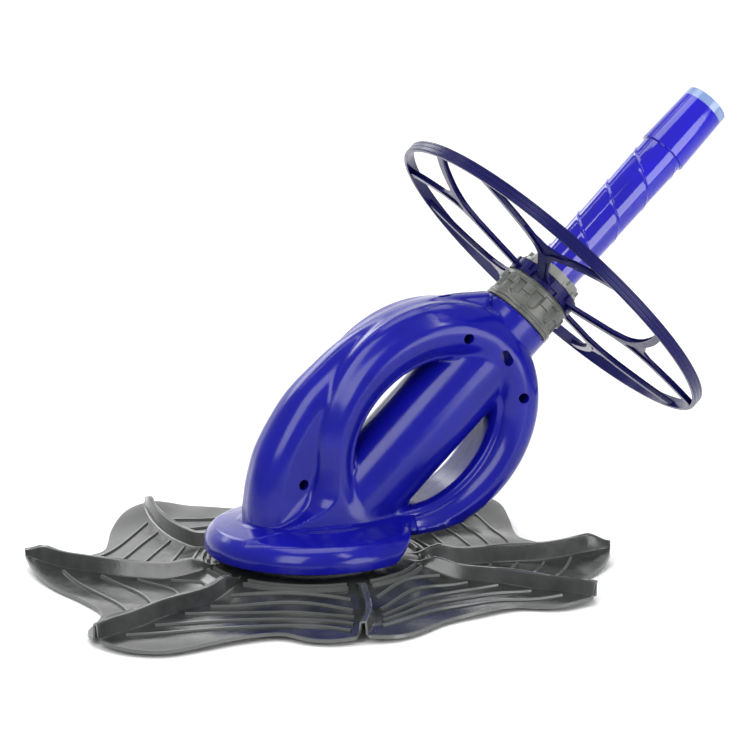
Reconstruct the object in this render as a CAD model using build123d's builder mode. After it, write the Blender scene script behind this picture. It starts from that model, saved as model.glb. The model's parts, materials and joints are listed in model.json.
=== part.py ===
from build123d import *
import math
import os

# ---------------------------------------------------------------- driving dimensions (mm)
# The pool floor is z = 0 and the suction mouth is centred on the z axis.
# The flow axis starts at FOOT_Z above the floor and climbs towards +X at AXIS_TILT.
# Along it, s is the distance from its start; t is measured square to it, upwards.
AXIS_TILT = 45.0
FOOT_Z = 26.0
WALL = 3.0                  # moulded wall of the body
FIT = 0.3                   # loose gap between parts that are only assembled

# body shells
RING_CENTRE = (140.0, 3.0)
RING_RADII = (112.0, 94.0)
RING_HALF_WIDTH = 36.0
RING_ROUND = 19.0
OPENING_CENTRE = (130.0, 0.0)
OPENING_RADII = (76.0, 58.0)
FAIRING_PROFILE = [
    (-62, 44), (-58, 80), (-46, 116), (-25, 153), (0, 177), (27, 198), (59, 216), (90, 226), (120, 230),
]
FAIRING_HALF_WIDTH = 31.0
FAIRING_ROUND = 20.0
BARREL_RADIUS = 37.0
BARREL_SPAN = (40.0, 236.0)
NECK_RADIUS = 33.5
NECK_SPAN = (238.0, 258.5)
LEG_RADII = (74.0, 36.0)
LEG_TOP_Z = 104.0
BODY_FLOOR_Z = 50.0
RING_FLOOR_Z = 32.0
BYPASS_PLACE = (223.0, -3.0)
BYPASS_SIZE = (14.8, 6.8)
BYPASS_TURN = 75.0

# liner tube inside the body, threaded at the top for the hand nut
LINER_RADIUS = 27.5
LINER_BORE = 25.0
LINER_SPAN = (0.0, 281.0)
THREAD_HEIGHT = 1.5
THREAD_PITCH = 7.0
THREAD_TURNS = 3

# foot
FLANGE_PLATE_Z = 47.0
FLANGE_RADIUS = 93.0
FLANGE_LIP_Z = 24.0
FLANGE_TRIM_X = 80.0
MOUTH_RADIUS = 34.0
HUB_BORE = 37.0
HUB_RADIUS = 46.0
HUB_FOOT_Z = 12.2
FLANGE_OUTLINE = [(78.0, 50.0), (87.0, 47.0), (92.0, 40.0), (93.0, 33.0)]    # outside, radius and z
FLANGE_INSIDE = [(76.5, 47.0), (84.5, 44.5), (89.0, 38.5), (90.0, 33.0)]
ELBOW_TOP = 80.0            # how far along the flow axis the flange carries the liner's seat
PAD_RADIUS = 74.0
PAD_HEIGHT = 12.0
PAD_SLOTS = 8
PAD_SLOT_SIZE = (6.0, 5.0)
BUSH_RADIUS = 50.0
BUSH_LIP_RADIUS = 60.0
BUSH_LIP_SPAN = (16.0, 18.5)
SNAP_RING_SPAN = (18.7, 21.2)
SNAP_RING_WIDTH = 5.0
SNAP_RING_GAP = 8.0

# finned disc
DISC_FOLDS = [              # angle and tip radius of each fold, as the soft disc lies on a floor
    (-97, 200), (-148, 256), (157, 246), (112, 251), (73, 204), (34, 257), (-12, 256), (-42, 251),
]
DISC_VALLEYS = [            # angle and radius of the edge between one fold and the next
    (-121, 190), (-165, 214), (135, 194), (92, 194), (54, 200), (9, 204), (-25, 236), (-68, 188),
]
DISC_CUT_RADIUS = 262.0
DISC_BORE = 50.4
DISC_HUB_RADIUS = 76.0
DISC_HUB_Z = 13.2
DISC_RIM_Z = 0.6
DISC_THICKNESS = 2.2
FOLD_HEIGHT = 14.0
FOLD_WIDTH = 5.0
FOLD_START = 90.0
FOLD_SETBACK = 24.0         # from the tip of a fold's slot to the end of its wall
SLOT_LENGTH = 20.0
SLOT_WIDTH = 4.0

# column of parts that pulls out of the neck
PIPE_RADIUS = 20.0
PIPE_BORE = 17.5
PIPE_SPAN = (259.0, 506.0)
PIPE_END = 514.0
SOCKET_RADIUS = 19.1
SOCKET_FLOOR = 460.0
CUFF_START = 454.0
CUFF_RADII = (22.0, 20.4)
COLLAR_RADIUS = 27.0
COLLAR_SPAN = (281.4, 285.4)
INNER_PIPE_RADII = (17.2, 15.2)
INNER_PIPE_SPAN = (160.0, 330.0)
COMPRESSION_RADII = (24.4, 20.2)
COMPRESSION_SPAN = (261.0, 280.0)
SEAL_CORD = 1.4
CASSETTE_RADIUS = 24.6
CASSETTE_WALL = 1.8
CASSETTE_SPAN = (84.0, 168.0)
CASSETTE_WINDOWS = 4
WINDOW_SIZE = (44.0, 14.0)
RETAINER_HEIGHT = 6.0
RETAINER_BORE = 17.0
LIP_SPAN = (92.0, 150.0)
MEMBRANE_RADIUS = 20.5
LIP_WALL = 2.0
LIP_MOUTH = (38.0, 9.0)

# hand nut and deflector wheel
NUT_RADIUS = 33.8
NUT_SPAN = (259.5, 288.5)
NUT_LIP = 2.6
NUT_RIM = 5.0
NUT_GRIPS = 10
GRIP_DEPTH = 1.4
GRIP_RADIUS = 4.5
WHEEL_RADIUS = 167.0
WHEEL_S = 307.0
RIM_SIZE = (3.6, 10.0)
HUB_BAND = (24.8, 33.0)
HUB_SPAN = (290.6, 302.0)
SPOKES = 5
SPOKE_PHASE = 2.5
FORK_RADIUS = 104.0
FORK_ANGLE = 26.0
SPOKE_SIZE = (6.0, 5.0)
SPOKE_S = (296.0, 305.5)    # where the dished spokes meet the hub and the rim
SLEEVE_RADIUS = 24.4
SLEEVE_LIP = 29.0
CLIP_RADIUS = 29.5
CLIP_HEIGHT = 9.5
CLIP_GAP = 10.0

# fasteners, ballast and float
BODY_SCREWS = [(-16.0, 83.0), (125.0, 200.0), (176.0, 146.0)]
SCREW_HEAD = (4.2, 3.0)
SCREW_SHANK = 1.9
SCREW_HEAD_Y = 16.0
SCREW_TIP_Y = 14.0
POST_RADIUS = 6.0
FLANGE_SCREW_RADIUS = 53.0
FLANGE_SCREW_ANGLES = (60.0, 120.0, 240.0, 300.0)
FLANGE_POST_TOP_Z = 57.0
PAD_SCREW_RADIUS = 41.5
PAD_SCREW_ANGLES = (67.5, 157.5, 247.5, 337.5)
PAD_SCREW_TIP_Z = 32.0
PAD_SCREW_HEAD_Z = 5.0
BALLAST_CENTRE = (-40.5, 0.0, 67.0)
BALLAST_SIZE = (19.0, 44.0, 26.0)
FLOAT_CENTRE = (100.0, 78.0)
FLOAT_SIZE = (80.0, 22.0, 40.0)

# ---------------------------------------------------------------- shared planes and shapes
COS = math.cos(math.radians(AXIS_TILT))
SIN = math.sin(math.radians(AXIS_TILT))
FLOW = Vector(COS, 0, SIN)
FOOT = Vector(0, 0, FOOT_Z)
UP_SLOPE = Vector(-SIN, 0, COS)
FLOW_AXIS = Axis((0, 0, FOOT_Z), (COS, 0, SIN))
SIDE = Plane(origin=(0, 0, FOOT_Z), x_dir=(COS, 0, SIN), z_dir=(0, -1, 0))
UPRIGHT = Plane(origin=(0, 0, 0), x_dir=(1, 0, 0), z_dir=(0, -1, 0))
HALF_SECTION = Plane(origin=(0, 0, FOOT_Z), x_dir=(0, 1, 0), z_dir=(SIN, 0, -COS))
BIG = 600.0


def across(s):
    """Plane square to the flow axis at distance s; its x is the world y."""
    return Plane(origin=FOOT + FLOW * s, x_dir=(0, 1, 0), z_dir=(COS, 0, SIN))


def tube(span, outer, inner):
    """Plain tube along the flow axis."""
    with BuildPart() as piece:
        with BuildSketch(across(span[0])):
            Circle(outer)
            Circle(inner, mode=Mode.SUBTRACT)
        extrude(amount=span[1] - span[0])
    return piece.part


def rod(span, radius):
    """Plain cylinder along the flow axis."""
    with BuildPart() as piece:
        with BuildSketch(across(span[0])):
            Circle(radius)
        extrude(amount=span[1] - span[0])
    return piece.part


def turned(corners):
    """Body of revolution about the flow axis from (radius, s) corners."""
    with BuildPart() as piece:
        with BuildSketch(HALF_SECTION):
            with BuildLine():
                Polyline(*corners, close=True)
            make_face()
        revolve(axis=FLOW_AXIS)
    return piece.part


def turned_upright(corners):
    """Body of revolution about the z axis from (radius, z) corners."""
    with BuildPart() as piece:
        with BuildSketch(Plane.XZ):
            with BuildLine():
                Polyline(*corners, close=True)
            make_face()
        revolve(axis=Axis.Z)
    return piece.part


def upright_rod(x, y, low, high, radius):
    """Vertical cylinder between two heights."""
    with BuildPart() as piece:
        with BuildSketch(Plane.XY.offset(low)):
            with Locations((x, y)):
                Circle(radius)
        extrude(amount=high - low)
    return piece.part


def cross_rod(x, z, near, far, radius):
    """Cylinder along y, from distance near in front of the seam to distance far behind it."""
    with BuildPart() as piece:
        with BuildSketch(UPRIGHT.offset(-far)):
            with Locations((x, z)):
                Circle(radius)
        extrude(amount=near + far)
    return piece.part


def polar(radius, degrees):
    return radius * math.cos(math.radians(degrees)), radius * math.sin(math.radians(degrees))


# ---------------------------------------------------------------- body shells
def ring_block(inset):
    """Near half of the oval ring, pulled in by inset on every outer face."""
    with BuildPart() as piece:
        with BuildSketch(SIDE):
            with Locations(RING_CENTRE):
                Ellipse(RING_RADII[0] - inset, RING_RADII[1] - inset)
        extrude(amount=RING_HALF_WIDTH - inset)
        fillet(piece.edges().group_by(Axis.Y)[0], RING_ROUND - inset)
    return piece.part


def pulled_in(points, inset):
    """Points of a left-to-right profile moved inwards, square to the line through their neighbours."""
    moved = []
    for i, (x, z) in enumerate(points):
        before = points[max(i - 1, 0)]
        after = points[min(i + 1, len(points) - 1)]
        run = math.dist(before, after)
        moved.append((x + inset * (after[1] - before[1]) / run, z - inset * (after[0] - before[0]) / run))
    return moved


def fairing_block(inset):
    """Near half of the streamlined front of the body, which runs down to the foot."""
    with BuildPart() as piece:
        with BuildSketch(UPRIGHT):
            with BuildLine():
                front = Spline(*pulled_in(FAIRING_PROFILE, inset))
                Polyline(front @ 1, (140, 150), (80, FAIRING_PROFILE[0][1]), front @ 0)
            make_face()
        extrude(amount=FAIRING_HALF_WIDTH - inset)
        fillet(piece.edges().group_by(Axis.Y)[0], FAIRING_ROUND - inset)
    return piece.part


def leg_block(inset):
    """Near half of the flared root that stands on the foot flange."""
    floor = BODY_FLOOR_Z - 1
    base, top = LEG_RADII[0] - inset, LEG_RADII[1] - inset
    cone = turned_upright([(0, floor), (base, floor), (top, LEG_TOP_Z - inset), (0, LEG_TOP_Z - inset)])
    return cone & Pos(0, -BIG / 2, 0) * Box(BIG, BIG, BIG)


def opening_block(grow):
    """The hand opening through the ring, grown by grow all round."""
    with BuildPart() as piece:
        with BuildSketch(SIDE.offset(-2 * RING_HALF_WIDTH)):
            with Locations(OPENING_CENTRE):
                Ellipse(OPENING_RADII[0] + grow, OPENING_RADII[1] + grow)
        extrude(amount=4 * RING_HALF_WIDTH)
        fillet(piece.edges(), 1.0)
    return piece.part


def foot_room(grow):
    """Space kept free for the foot flange and the floor, grown by grow."""
    drum = upright_rod(0, 0, -BIG, BODY_FLOOR_Z + grow, FLANGE_RADIUS + FIT + grow)
    trim = Pos(FLANGE_TRIM_X + FIT + grow - BIG / 2, 0, 0) * Box(BIG, BIG, BIG)
    floor = Pos(0, 0, RING_FLOOR_Z + grow - BIG / 2) * Box(BIG, BIG, BIG)
    return (drum & trim) + floor


def body_envelope(inset):
    """Near half of the body without barrel and neck, as a filled block."""
    grown_opening = opening_block(inset)
    return ring_block(inset) + fairing_block(inset) + leg_block(inset) - grown_opening


def half_body(outside):
    """Near half of the hollow body: ring, fairing, leg, barrel and neck in one moulding."""
    barrel = rod(BARREL_SPAN, BARREL_RADIUS) & opening_block(2 * WALL)
    neck = rod(NECK_SPAN, NECK_RADIUS)
    inside = body_envelope(WALL) - foot_room(WALL) + rod(BARREL_SPAN, BARREL_RADIUS - WALL)
    bore = rod((-FOOT_Z, NECK_SPAN[1] + 1), LINER_RADIUS + FIT)
    shell = outside + barrel + neck - inside - bore - foot_room(0)
    return shell & Pos(0, -BIG / 2, 0) * Box(BIG, BIG, BIG)


def flange_posts(side):
    """Posts in the floor of one shell that the flange screws bite into."""
    places = [polar(FLANGE_SCREW_RADIUS, a) for a in FLANGE_SCREW_ANGLES]
    return [
        upright_rod(x, y, BODY_FLOOR_Z, FLANGE_POST_TOP_Z, POST_RADIUS - 1)
        for x, y in places if y * side > 0
    ]


def flange_pilots():
    places = [polar(FLANGE_SCREW_RADIUS, a) for a in FLANGE_SCREW_ANGLES]
    return [upright_rod(x, y, 0, FLANGE_POST_TOP_Z - 2, SCREW_SHANK + 0.1) for x, y in places]


def bypass_port():
    """Slanted oblong port in the near shell, high on the ring beside the neck."""
    with BuildPart() as piece:
        with BuildSketch(SIDE):
            with Locations(Location(BYPASS_PLACE, BYPASS_TURN)):
                SlotOverall(*BYPASS_SIZE)
        extrude(amount=RING_HALF_WIDTH + 1)
    return piece.part


envelope = body_envelope(0)
blank = half_body(envelope)

near = blank
for post in flange_posts(-1):
    near = near + post
for x, z in BODY_SCREWS:
    near = near + (cross_rod(x, z, LEG_RADII[0], 0, POST_RADIUS) & envelope)
    near = near - cross_rod(x, z, LEG_RADII[0], -SCREW_HEAD_Y, SCREW_HEAD[0] + FIT)
    near = near - cross_rod(x, z, LEG_RADII[0], 1, SCREW_SHANK + 0.2)
for pilot in flange_pilots():
    near = near - pilot
near = near - (bypass_port() - rod(BARREL_SPAN, LINER_RADIUS + FIT + 1))
near.label = "right_body_shell"

far_envelope = mirror(envelope, about=Plane.XZ)
far = mirror(blank, about=Plane.XZ)
for post in flange_posts(1):
    far = far + post
for x, z in BODY_SCREWS:
    far = far + (cross_rod(x, z, 0, LEG_RADII[0], POST_RADIUS) & far_envelope)
    far = far - cross_rod(x, z, 1, SCREW_TIP_Y + 2, SCREW_SHANK + 0.1)
for pilot in flange_pilots():
    far = far - pilot
far.label = "left_body_shell"

# ---------------------------------------------------------------- liner tube
liner_cut = foot_room(FIT)
with BuildPart() as liner_tube:
    with BuildSketch(across(LINER_SPAN[0])):
        Circle(LINER_RADIUS)
        Circle(LINER_BORE, mode=Mode.SUBTRACT)
    extrude(amount=LINER_SPAN[1] - LINER_SPAN[0])
    for turn in range(THREAD_TURNS):
        with BuildSketch(across(NECK_SPAN[1] + 3 + turn * THREAD_PITCH)):
            Circle(LINER_RADIUS + THREAD_HEIGHT)
            Circle(LINER_BORE, mode=Mode.SUBTRACT)
        extrude(amount=THREAD_PITCH / 2)
    add(liner_cut, mode=Mode.SUBTRACT)
liner_tube.part.label = "liner_tube"

# ---------------------------------------------------------------- foot
dome = turned_upright([
    (0, BODY_FLOOR_Z), *FLANGE_OUTLINE, (FLANGE_RADIUS, FLANGE_LIP_Z), (0, FLANGE_LIP_Z),
])
hollow = turned_upright([
    (HUB_BORE, FLANGE_PLATE_Z), *FLANGE_INSIDE, (FLANGE_RADIUS - WALL, FLANGE_LIP_Z - 1),
    (HUB_BORE, FLANGE_LIP_Z - 1),
])
hub = turned_upright([
    (HUB_BORE - 1, FLANGE_PLATE_Z + 1), (HUB_RADIUS, FLANGE_PLATE_Z + 1),
    (HUB_RADIUS, HUB_FOOT_Z), (HUB_BORE - 1, HUB_FOOT_Z),
])
plate_slab = Pos(0, 0, (FLANGE_LIP_Z + FLANGE_PLATE_Z + 1) / 2) * Box(
    BIG, BIG, FLANGE_PLATE_Z + 1 - FLANGE_LIP_Z
)
elbow = rod((-FOOT_Z, ELBOW_TOP), LINER_BORE + WALL) & plate_slab
well = upright_rod(0, 0, 0, FLANGE_PLATE_Z, HUB_BORE)
kept = Pos(FLANGE_TRIM_X - BIG / 2, 0, 0) * Box(BIG, BIG, BIG)
kept_inside = Pos(FLANGE_TRIM_X - WALL - BIG / 2, 0, 0) * Box(BIG, BIG, BIG)
flange = (dome & kept) - (hollow & kept_inside) + hub + elbow
flange = flange - well - rod((-FOOT_Z, ELBOW_TOP + 10), LINER_BORE)
for x, y in [polar(FLANGE_SCREW_RADIUS, a) for a in FLANGE_SCREW_ANGLES]:
    flange = flange - upright_rod(x, y, 0, BODY_FLOOR_Z + 1, SCREW_SHANK + 0.2)
for x, y in [polar(PAD_SCREW_RADIUS, a) for a in PAD_SCREW_ANGLES]:
    flange = flange - upright_rod(x, y, 0, PAD_SCREW_TIP_Z + 1, SCREW_SHANK + 0.1)
flange.label = "foot_flange"

with BuildPart() as foot_pad:
    with BuildSketch():
        Circle(PAD_RADIUS)
        Circle(MOUTH_RADIUS, mode=Mode.SUBTRACT)
    extrude(amount=PAD_HEIGHT)
    with BuildSketch():
        with PolarLocations((MOUTH_RADIUS + PAD_RADIUS) / 2, PAD_SLOTS):
            Rectangle(PAD_RADIUS, PAD_SLOT_SIZE[0])
    extrude(amount=PAD_SLOT_SIZE[1], mode=Mode.SUBTRACT)
    for angle in PAD_SCREW_ANGLES:
        with BuildSketch():
            with Locations(polar(PAD_SCREW_RADIUS, angle)):
                Circle(SCREW_SHANK + 0.2)
        extrude(amount=PAD_HEIGHT, mode=Mode.SUBTRACT)
        with BuildSketch():
            with Locations(polar(PAD_SCREW_RADIUS, angle)):
                Circle(SCREW_HEAD[0] + FIT)
        extrude(amount=PAD_SCREW_HEAD_Z + SCREW_HEAD[1] + 0.1, mode=Mode.SUBTRACT)
foot_pad.part.label = "foot_pad"

bush = turned_upright([
    (HUB_RADIUS + FIT, HUB_FOOT_Z), (BUSH_RADIUS, HUB_FOOT_Z), (BUSH_RADIUS, BUSH_LIP_SPAN[0]),
    (BUSH_LIP_RADIUS, BUSH_LIP_SPAN[0]), (BUSH_LIP_RADIUS, BUSH_LIP_SPAN[1]),
    (HUB_RADIUS + FIT, BUSH_LIP_SPAN[1]),
])
bush.label = "disc_bush"

ring_radii = (HUB_RADIUS + 0.1, HUB_RADIUS + SNAP_RING_WIDTH)
snap_ring = turned_upright([
    (ring_radii[0], SNAP_RING_SPAN[0]), (ring_radii[1], SNAP_RING_SPAN[0]),
    (ring_radii[1], SNAP_RING_SPAN[1]), (ring_radii[0], SNAP_RING_SPAN[1]),
])
snap_ring = snap_ring - Pos(-HUB_RADIUS, 0, SNAP_RING_SPAN[0]) * Box(20, SNAP_RING_GAP, 10)
snap_ring.label = "bush_snap_ring"

# ---------------------------------------------------------------- finned disc
plate = turned_upright([
    (DISC_BORE, DISC_HUB_Z), (DISC_HUB_RADIUS, DISC_HUB_Z), (DISC_CUT_RADIUS, DISC_RIM_Z),
    (DISC_CUT_RADIUS, DISC_RIM_Z + DISC_THICKNESS), (DISC_HUB_RADIUS, DISC_HUB_Z + DISC_THICKNESS),
    (DISC_BORE, DISC_HUB_Z + DISC_THICKNESS),
])
rim_points = []
for fold, valley in zip(DISC_FOLDS, DISC_VALLEYS):
    rim_points.append(polar(fold[1], fold[0]))
    rim_points.append(polar(valley[1], valley[0]))
with BuildPart() as disc_outline:
    with BuildSketch():
        with BuildLine():
            Spline(*rim_points, periodic=True)
        make_face()
    extrude(amount=2 * DISC_HUB_Z)


def plate_top(radius):
    """Height of the top of the sloping plate at a radius."""
    share = (radius - DISC_HUB_RADIUS) / (DISC_CUT_RADIUS - DISC_HUB_RADIUS)
    return DISC_HUB_Z + DISC_THICKNESS - share * (DISC_HUB_Z - DISC_RIM_Z)


def fold_wall(tip):
    """Standing wall of one fold, along +X."""
    end = tip - FOLD_SETBACK
    with BuildPart() as piece:
        with BuildSketch(Plane.XZ.offset(-FOLD_WIDTH / 2)):
            with BuildLine():
                Polyline(
                    (FOLD_START, plate_top(FOLD_START) - 1), (FOLD_START + 10, DISC_HUB_Z + FOLD_HEIGHT),
                    (end - 6, plate_top(end) + FOLD_HEIGHT), (end, plate_top(end) - 1),
                    close=True,
                )
            make_face()
        extrude(amount=FOLD_WIDTH)
    return piece.part


finned = plate & disc_outline.part
for angle, tip in DISC_FOLDS:
    slot = Rot(0, 0, angle) * Pos(tip, 0, 0) * Box(2 * SLOT_LENGTH, SLOT_WIDTH, BIG)
    finned = finned + Rot(0, 0, angle) * fold_wall(tip) - slot
finned.label = "finned_disc"

# ---------------------------------------------------------------- pull-out column
cassette = turned([
    (CASSETTE_RADIUS - CASSETTE_WALL, CASSETTE_SPAN[0]), (CASSETTE_RADIUS, CASSETTE_SPAN[0]),
    (CASSETTE_RADIUS, CASSETTE_SPAN[1]), (INNER_PIPE_RADII[0] + 0.1, CASSETTE_SPAN[1]),
    (INNER_PIPE_RADII[0] + 0.1, CASSETTE_SPAN[1] - 3), (CASSETTE_RADIUS - CASSETTE_WALL, CASSETTE_SPAN[1] - 3),
])
window_centre = FOOT + FLOW * (LIP_SPAN[0] + LIP_SPAN[1]) / 2
for turn in range(CASSETTE_WINDOWS // 2):
    window = Box(WINDOW_SIZE[0], WINDOW_SIZE[1], 3 * CASSETTE_RADIUS)
    angle = 360 / CASSETTE_WINDOWS * (turn + 0.5)
    cassette = cassette - Location(window_centre) * Rot(0, -AXIS_TILT, 0) * Rot(angle, 0, 0) * window
cassette.label = "cassette_housing"

retainer = tube(
    (CASSETTE_SPAN[0] + 0.5, CASSETTE_SPAN[0] + 0.5 + RETAINER_HEIGHT),
    CASSETTE_RADIUS - CASSETTE_WALL - 0.1, RETAINER_BORE,
)
retainer.label = "diaphragm_retaining_ring"

with BuildPart() as diaphragm:
    with BuildSketch(across(LIP_SPAN[0])):
        Circle(MEMBRANE_RADIUS)
    with BuildSketch(across(LIP_SPAN[1])):
        SlotOverall(*LIP_MOUTH)
    loft()
    with BuildSketch(across(LIP_SPAN[0])):
        Circle(MEMBRANE_RADIUS - LIP_WALL)
    with BuildSketch(across(LIP_SPAN[1])):
        SlotOverall(LIP_MOUTH[0] - 2 * LIP_WALL, LIP_MOUTH[1] - 2 * LIP_WALL)
    loft(mode=Mode.SUBTRACT)
    with BuildSketch(across(LIP_SPAN[0])):
        Circle(CASSETTE_RADIUS - CASSETTE_WALL - 0.1)
        Circle(MEMBRANE_RADIUS - LIP_WALL, mode=Mode.SUBTRACT)
    extrude(amount=LIP_WALL)
diaphragm.part.label = "diaphragm"

inner_pipe = tube(INNER_PIPE_SPAN, *INNER_PIPE_RADII)
inner_pipe.label = "inner_extension_pipe"

seal_s = CASSETTE_SPAN[1] + SEAL_CORD + 0.1
with BuildPart() as cassette_seal:
    with BuildSketch(HALF_SECTION):
        with Locations((INNER_PIPE_RADII[0] + SEAL_CORD, seal_s)):
            Circle(SEAL_CORD)
    revolve(axis=FLOW_AXIS)
cassette_seal.part.label = "cassette_seal_ring"

compression = turned([
    (COMPRESSION_RADII[1], COMPRESSION_SPAN[0]), (COMPRESSION_RADII[0] - 1.5, COMPRESSION_SPAN[0]),
    (COMPRESSION_RADII[0], COMPRESSION_SPAN[0] + 4), (COMPRESSION_RADII[0], COMPRESSION_SPAN[1]),
    (COMPRESSION_RADII[1], COMPRESSION_SPAN[1]),
])
compression.label = "compression_ring"

gasket = tube((COMPRESSION_SPAN[1] + 0.1, COLLAR_SPAN[0] - 0.1), COMPRESSION_RADII[0], COMPRESSION_RADII[1])
gasket.label = "neck_gasket"

outer_pipe = turned([
    (PIPE_BORE, PIPE_SPAN[0]), (PIPE_RADIUS, PIPE_SPAN[0]), (PIPE_RADIUS, COLLAR_SPAN[0]),
    (COLLAR_RADIUS, COLLAR_SPAN[0]), (COLLAR_RADIUS, COLLAR_SPAN[1]), (PIPE_RADIUS, COLLAR_SPAN[1]),
    (PIPE_RADIUS, CUFF_START), (CUFF_RADII[0], CUFF_START), (CUFF_RADII[1], PIPE_SPAN[1]),
    (SOCKET_RADIUS, PIPE_SPAN[1]), (SOCKET_RADIUS, SOCKET_FLOOR), (PIPE_BORE, SOCKET_FLOOR),
])
outer_pipe.label = "outer_extension_pipe"

end_ring = tube((PIPE_SPAN[1], PIPE_END), CUFF_RADII[1], SOCKET_RADIUS)
end_ring.label = "hose_end_ring"

sleeve = turned([
    (PIPE_RADIUS + 0.1, NUT_SPAN[1] + 0.5), (SLEEVE_LIP, NUT_SPAN[1] + 0.5),
    (SLEEVE_LIP, HUB_SPAN[0] - 0.5), (SLEEVE_RADIUS, HUB_SPAN[0] - 0.5),
    (SLEEVE_RADIUS, HUB_SPAN[1] + 0.5), (PIPE_RADIUS + 0.1, HUB_SPAN[1] + 0.5),
])
sleeve.label = "wheel_bearing_sleeve"

clip_start = HUB_SPAN[1] + 0.6
wheel_clip = tube((clip_start, clip_start + CLIP_HEIGHT), CLIP_RADIUS, PIPE_RADIUS + 0.1)
clip_mouth = Location(FOOT + FLOW * clip_start) * Rot(0, -AXIS_TILT, 0) * Box(20, CLIP_GAP, 2 * BIG)
wheel_clip = wheel_clip - (clip_mouth & Pos(0, 0, -BIG) * Box(2 * BIG, BIG, 2 * BIG))
wheel_clip.label = "wheel_retaining_clip"

# ---------------------------------------------------------------- hand nut
nut_bore = LINER_RADIUS + THREAD_HEIGHT + 0.5
with BuildPart() as hand_nut:
    with BuildSketch(across(NUT_SPAN[0])):
        Circle(NUT_RADIUS)
    extrude(amount=NUT_RIM)
    with BuildSketch(across(NUT_SPAN[0] + NUT_RIM)):
        Circle(NUT_RADIUS - 1)
        with PolarLocations(NUT_RADIUS + GRIP_RADIUS - GRIP_DEPTH - 1, NUT_GRIPS):
            Circle(GRIP_RADIUS, mode=Mode.SUBTRACT)
    extrude(amount=NUT_SPAN[1] - NUT_SPAN[0] - NUT_RIM)
    with BuildSketch(across(NUT_SPAN[0])):
        Circle(nut_bore)
    extrude(amount=NUT_SPAN[1] - NUT_SPAN[0] - NUT_LIP, mode=Mode.SUBTRACT)
    with BuildSketch(across(NUT_SPAN[0])):
        Circle(PIPE_RADIUS + 0.6)
    extrude(amount=NUT_SPAN[1] - NUT_SPAN[0], mode=Mode.SUBTRACT)
hand_nut.part.label = "hand_nut"

# ---------------------------------------------------------------- deflector wheel
inner_rim = WHEEL_RADIUS - RIM_SIZE[0]


def wheel_point(radius, degrees):
    """Middle of a spoke at a radius; the spokes climb from the hub to the rim."""
    share = (radius - HUB_BAND[1]) / (inner_rim - HUB_BAND[1])
    along_axis = FLOW * (SPOKE_S[0] + share * (SPOKE_S[1] - SPOKE_S[0]))
    y, t = polar(radius, degrees)
    return FOOT + along_axis + Vector(0, y, 0) + UP_SLOPE * t


def spoke_bar(start, end):
    """Straight bar between two (radius, degrees) places of the wheel."""
    a, b = wheel_point(*start), wheel_point(*end)
    middle = Plane(origin=(a + b) / 2, x_dir=b - a, z_dir=(b - a).cross(FLOW))
    return middle * Box((b - a).length, SPOKE_SIZE[1], SPOKE_SIZE[0])


deflector_wheel = tube((WHEEL_S - RIM_SIZE[1] / 2, WHEEL_S + RIM_SIZE[1] / 2), WHEEL_RADIUS, inner_rim)
deflector_wheel = deflector_wheel + tube(HUB_SPAN, HUB_BAND[1], HUB_BAND[0])
for spoke in range(SPOKES):
    turn = SPOKE_PHASE + 360 / SPOKES * spoke
    deflector_wheel = deflector_wheel + spoke_bar((HUB_BAND[1] - 2, turn), (FORK_RADIUS + 2, turn))
    for side in (-1, 1):
        arm = spoke_bar((FORK_RADIUS, turn), (inner_rim + 1, turn + side * FORK_ANGLE))
        deflector_wheel = deflector_wheel + arm
deflector_wheel.label = "deflector_wheel"

# ---------------------------------------------------------------- fasteners, ballast and float
def upright_screw(x, y, head_z, tip_z):
    """Pan-head screw driven upwards, head from head_z."""
    head = upright_rod(x, y, head_z, head_z + SCREW_HEAD[1], SCREW_HEAD[0])
    return head + upright_rod(x, y, head_z + SCREW_HEAD[1], tip_z, SCREW_SHANK)


def cross_screw(x, z):
    """Pan-head screw driven from the near side across the seam."""
    head = cross_rod(x, z, SCREW_HEAD_Y + SCREW_HEAD[1] + 0.1, -SCREW_HEAD_Y - 0.1, SCREW_HEAD[0])
    return head + cross_rod(x, z, SCREW_HEAD_Y + 0.1, SCREW_TIP_Y, SCREW_SHANK)


body_screws = Compound(children=[cross_screw(x, z) for x, z in BODY_SCREWS])
body_screws.label = "body_screws"

flange_head_z = FLANGE_PLATE_Z - SCREW_HEAD[1] - 0.1
flange_screws = Compound(children=[
    upright_screw(*polar(FLANGE_SCREW_RADIUS, a), flange_head_z, FLANGE_POST_TOP_Z - 3)
    for a in FLANGE_SCREW_ANGLES
])
flange_screws.label = "flange_screws"

pad_screws = Compound(children=[
    upright_screw(*polar(PAD_SCREW_RADIUS, a), PAD_SCREW_HEAD_Z, PAD_SCREW_TIP_Z)
    for a in PAD_SCREW_ANGLES
])
pad_screws.label = "foot_pad_screws"

with BuildPart() as ballast:
    with Locations(BALLAST_CENTRE):
        Box(*BALLAST_SIZE)
    fillet(ballast.edges().filter_by(Axis.Y), 3)
ballast.part.label = "ballast_weight"

with BuildPart() as float_block:
    with BuildSketch(SIDE.offset(-FLOAT_SIZE[2] / 2)):
        with Locations(FLOAT_CENTRE):
            Rectangle(FLOAT_SIZE[0], FLOAT_SIZE[1])
    extrude(amount=FLOAT_SIZE[2])
float_block.part.label = "buoyancy_float"

# ---------------------------------------------------------------- one STEP file per node
NODES = [
    near, far, liner_tube.part, flange, foot_pad.part, bush, snap_ring, finned, cassette, retainer,
    diaphragm.part, inner_pipe, cassette_seal.part, compression, gasket, outer_pipe, end_ring, sleeve,
    wheel_clip, hand_nut.part, deflector_wheel, body_screws, flange_screws, pad_screws,
    ballast.part, float_block.part,
]
os.makedirs("parts", exist_ok=True)
for node in NODES:
    export_step(node, f"parts/{node.label}.step")
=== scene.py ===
"""Looks of a suction pool cleaner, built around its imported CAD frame."""

import json
import math

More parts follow.
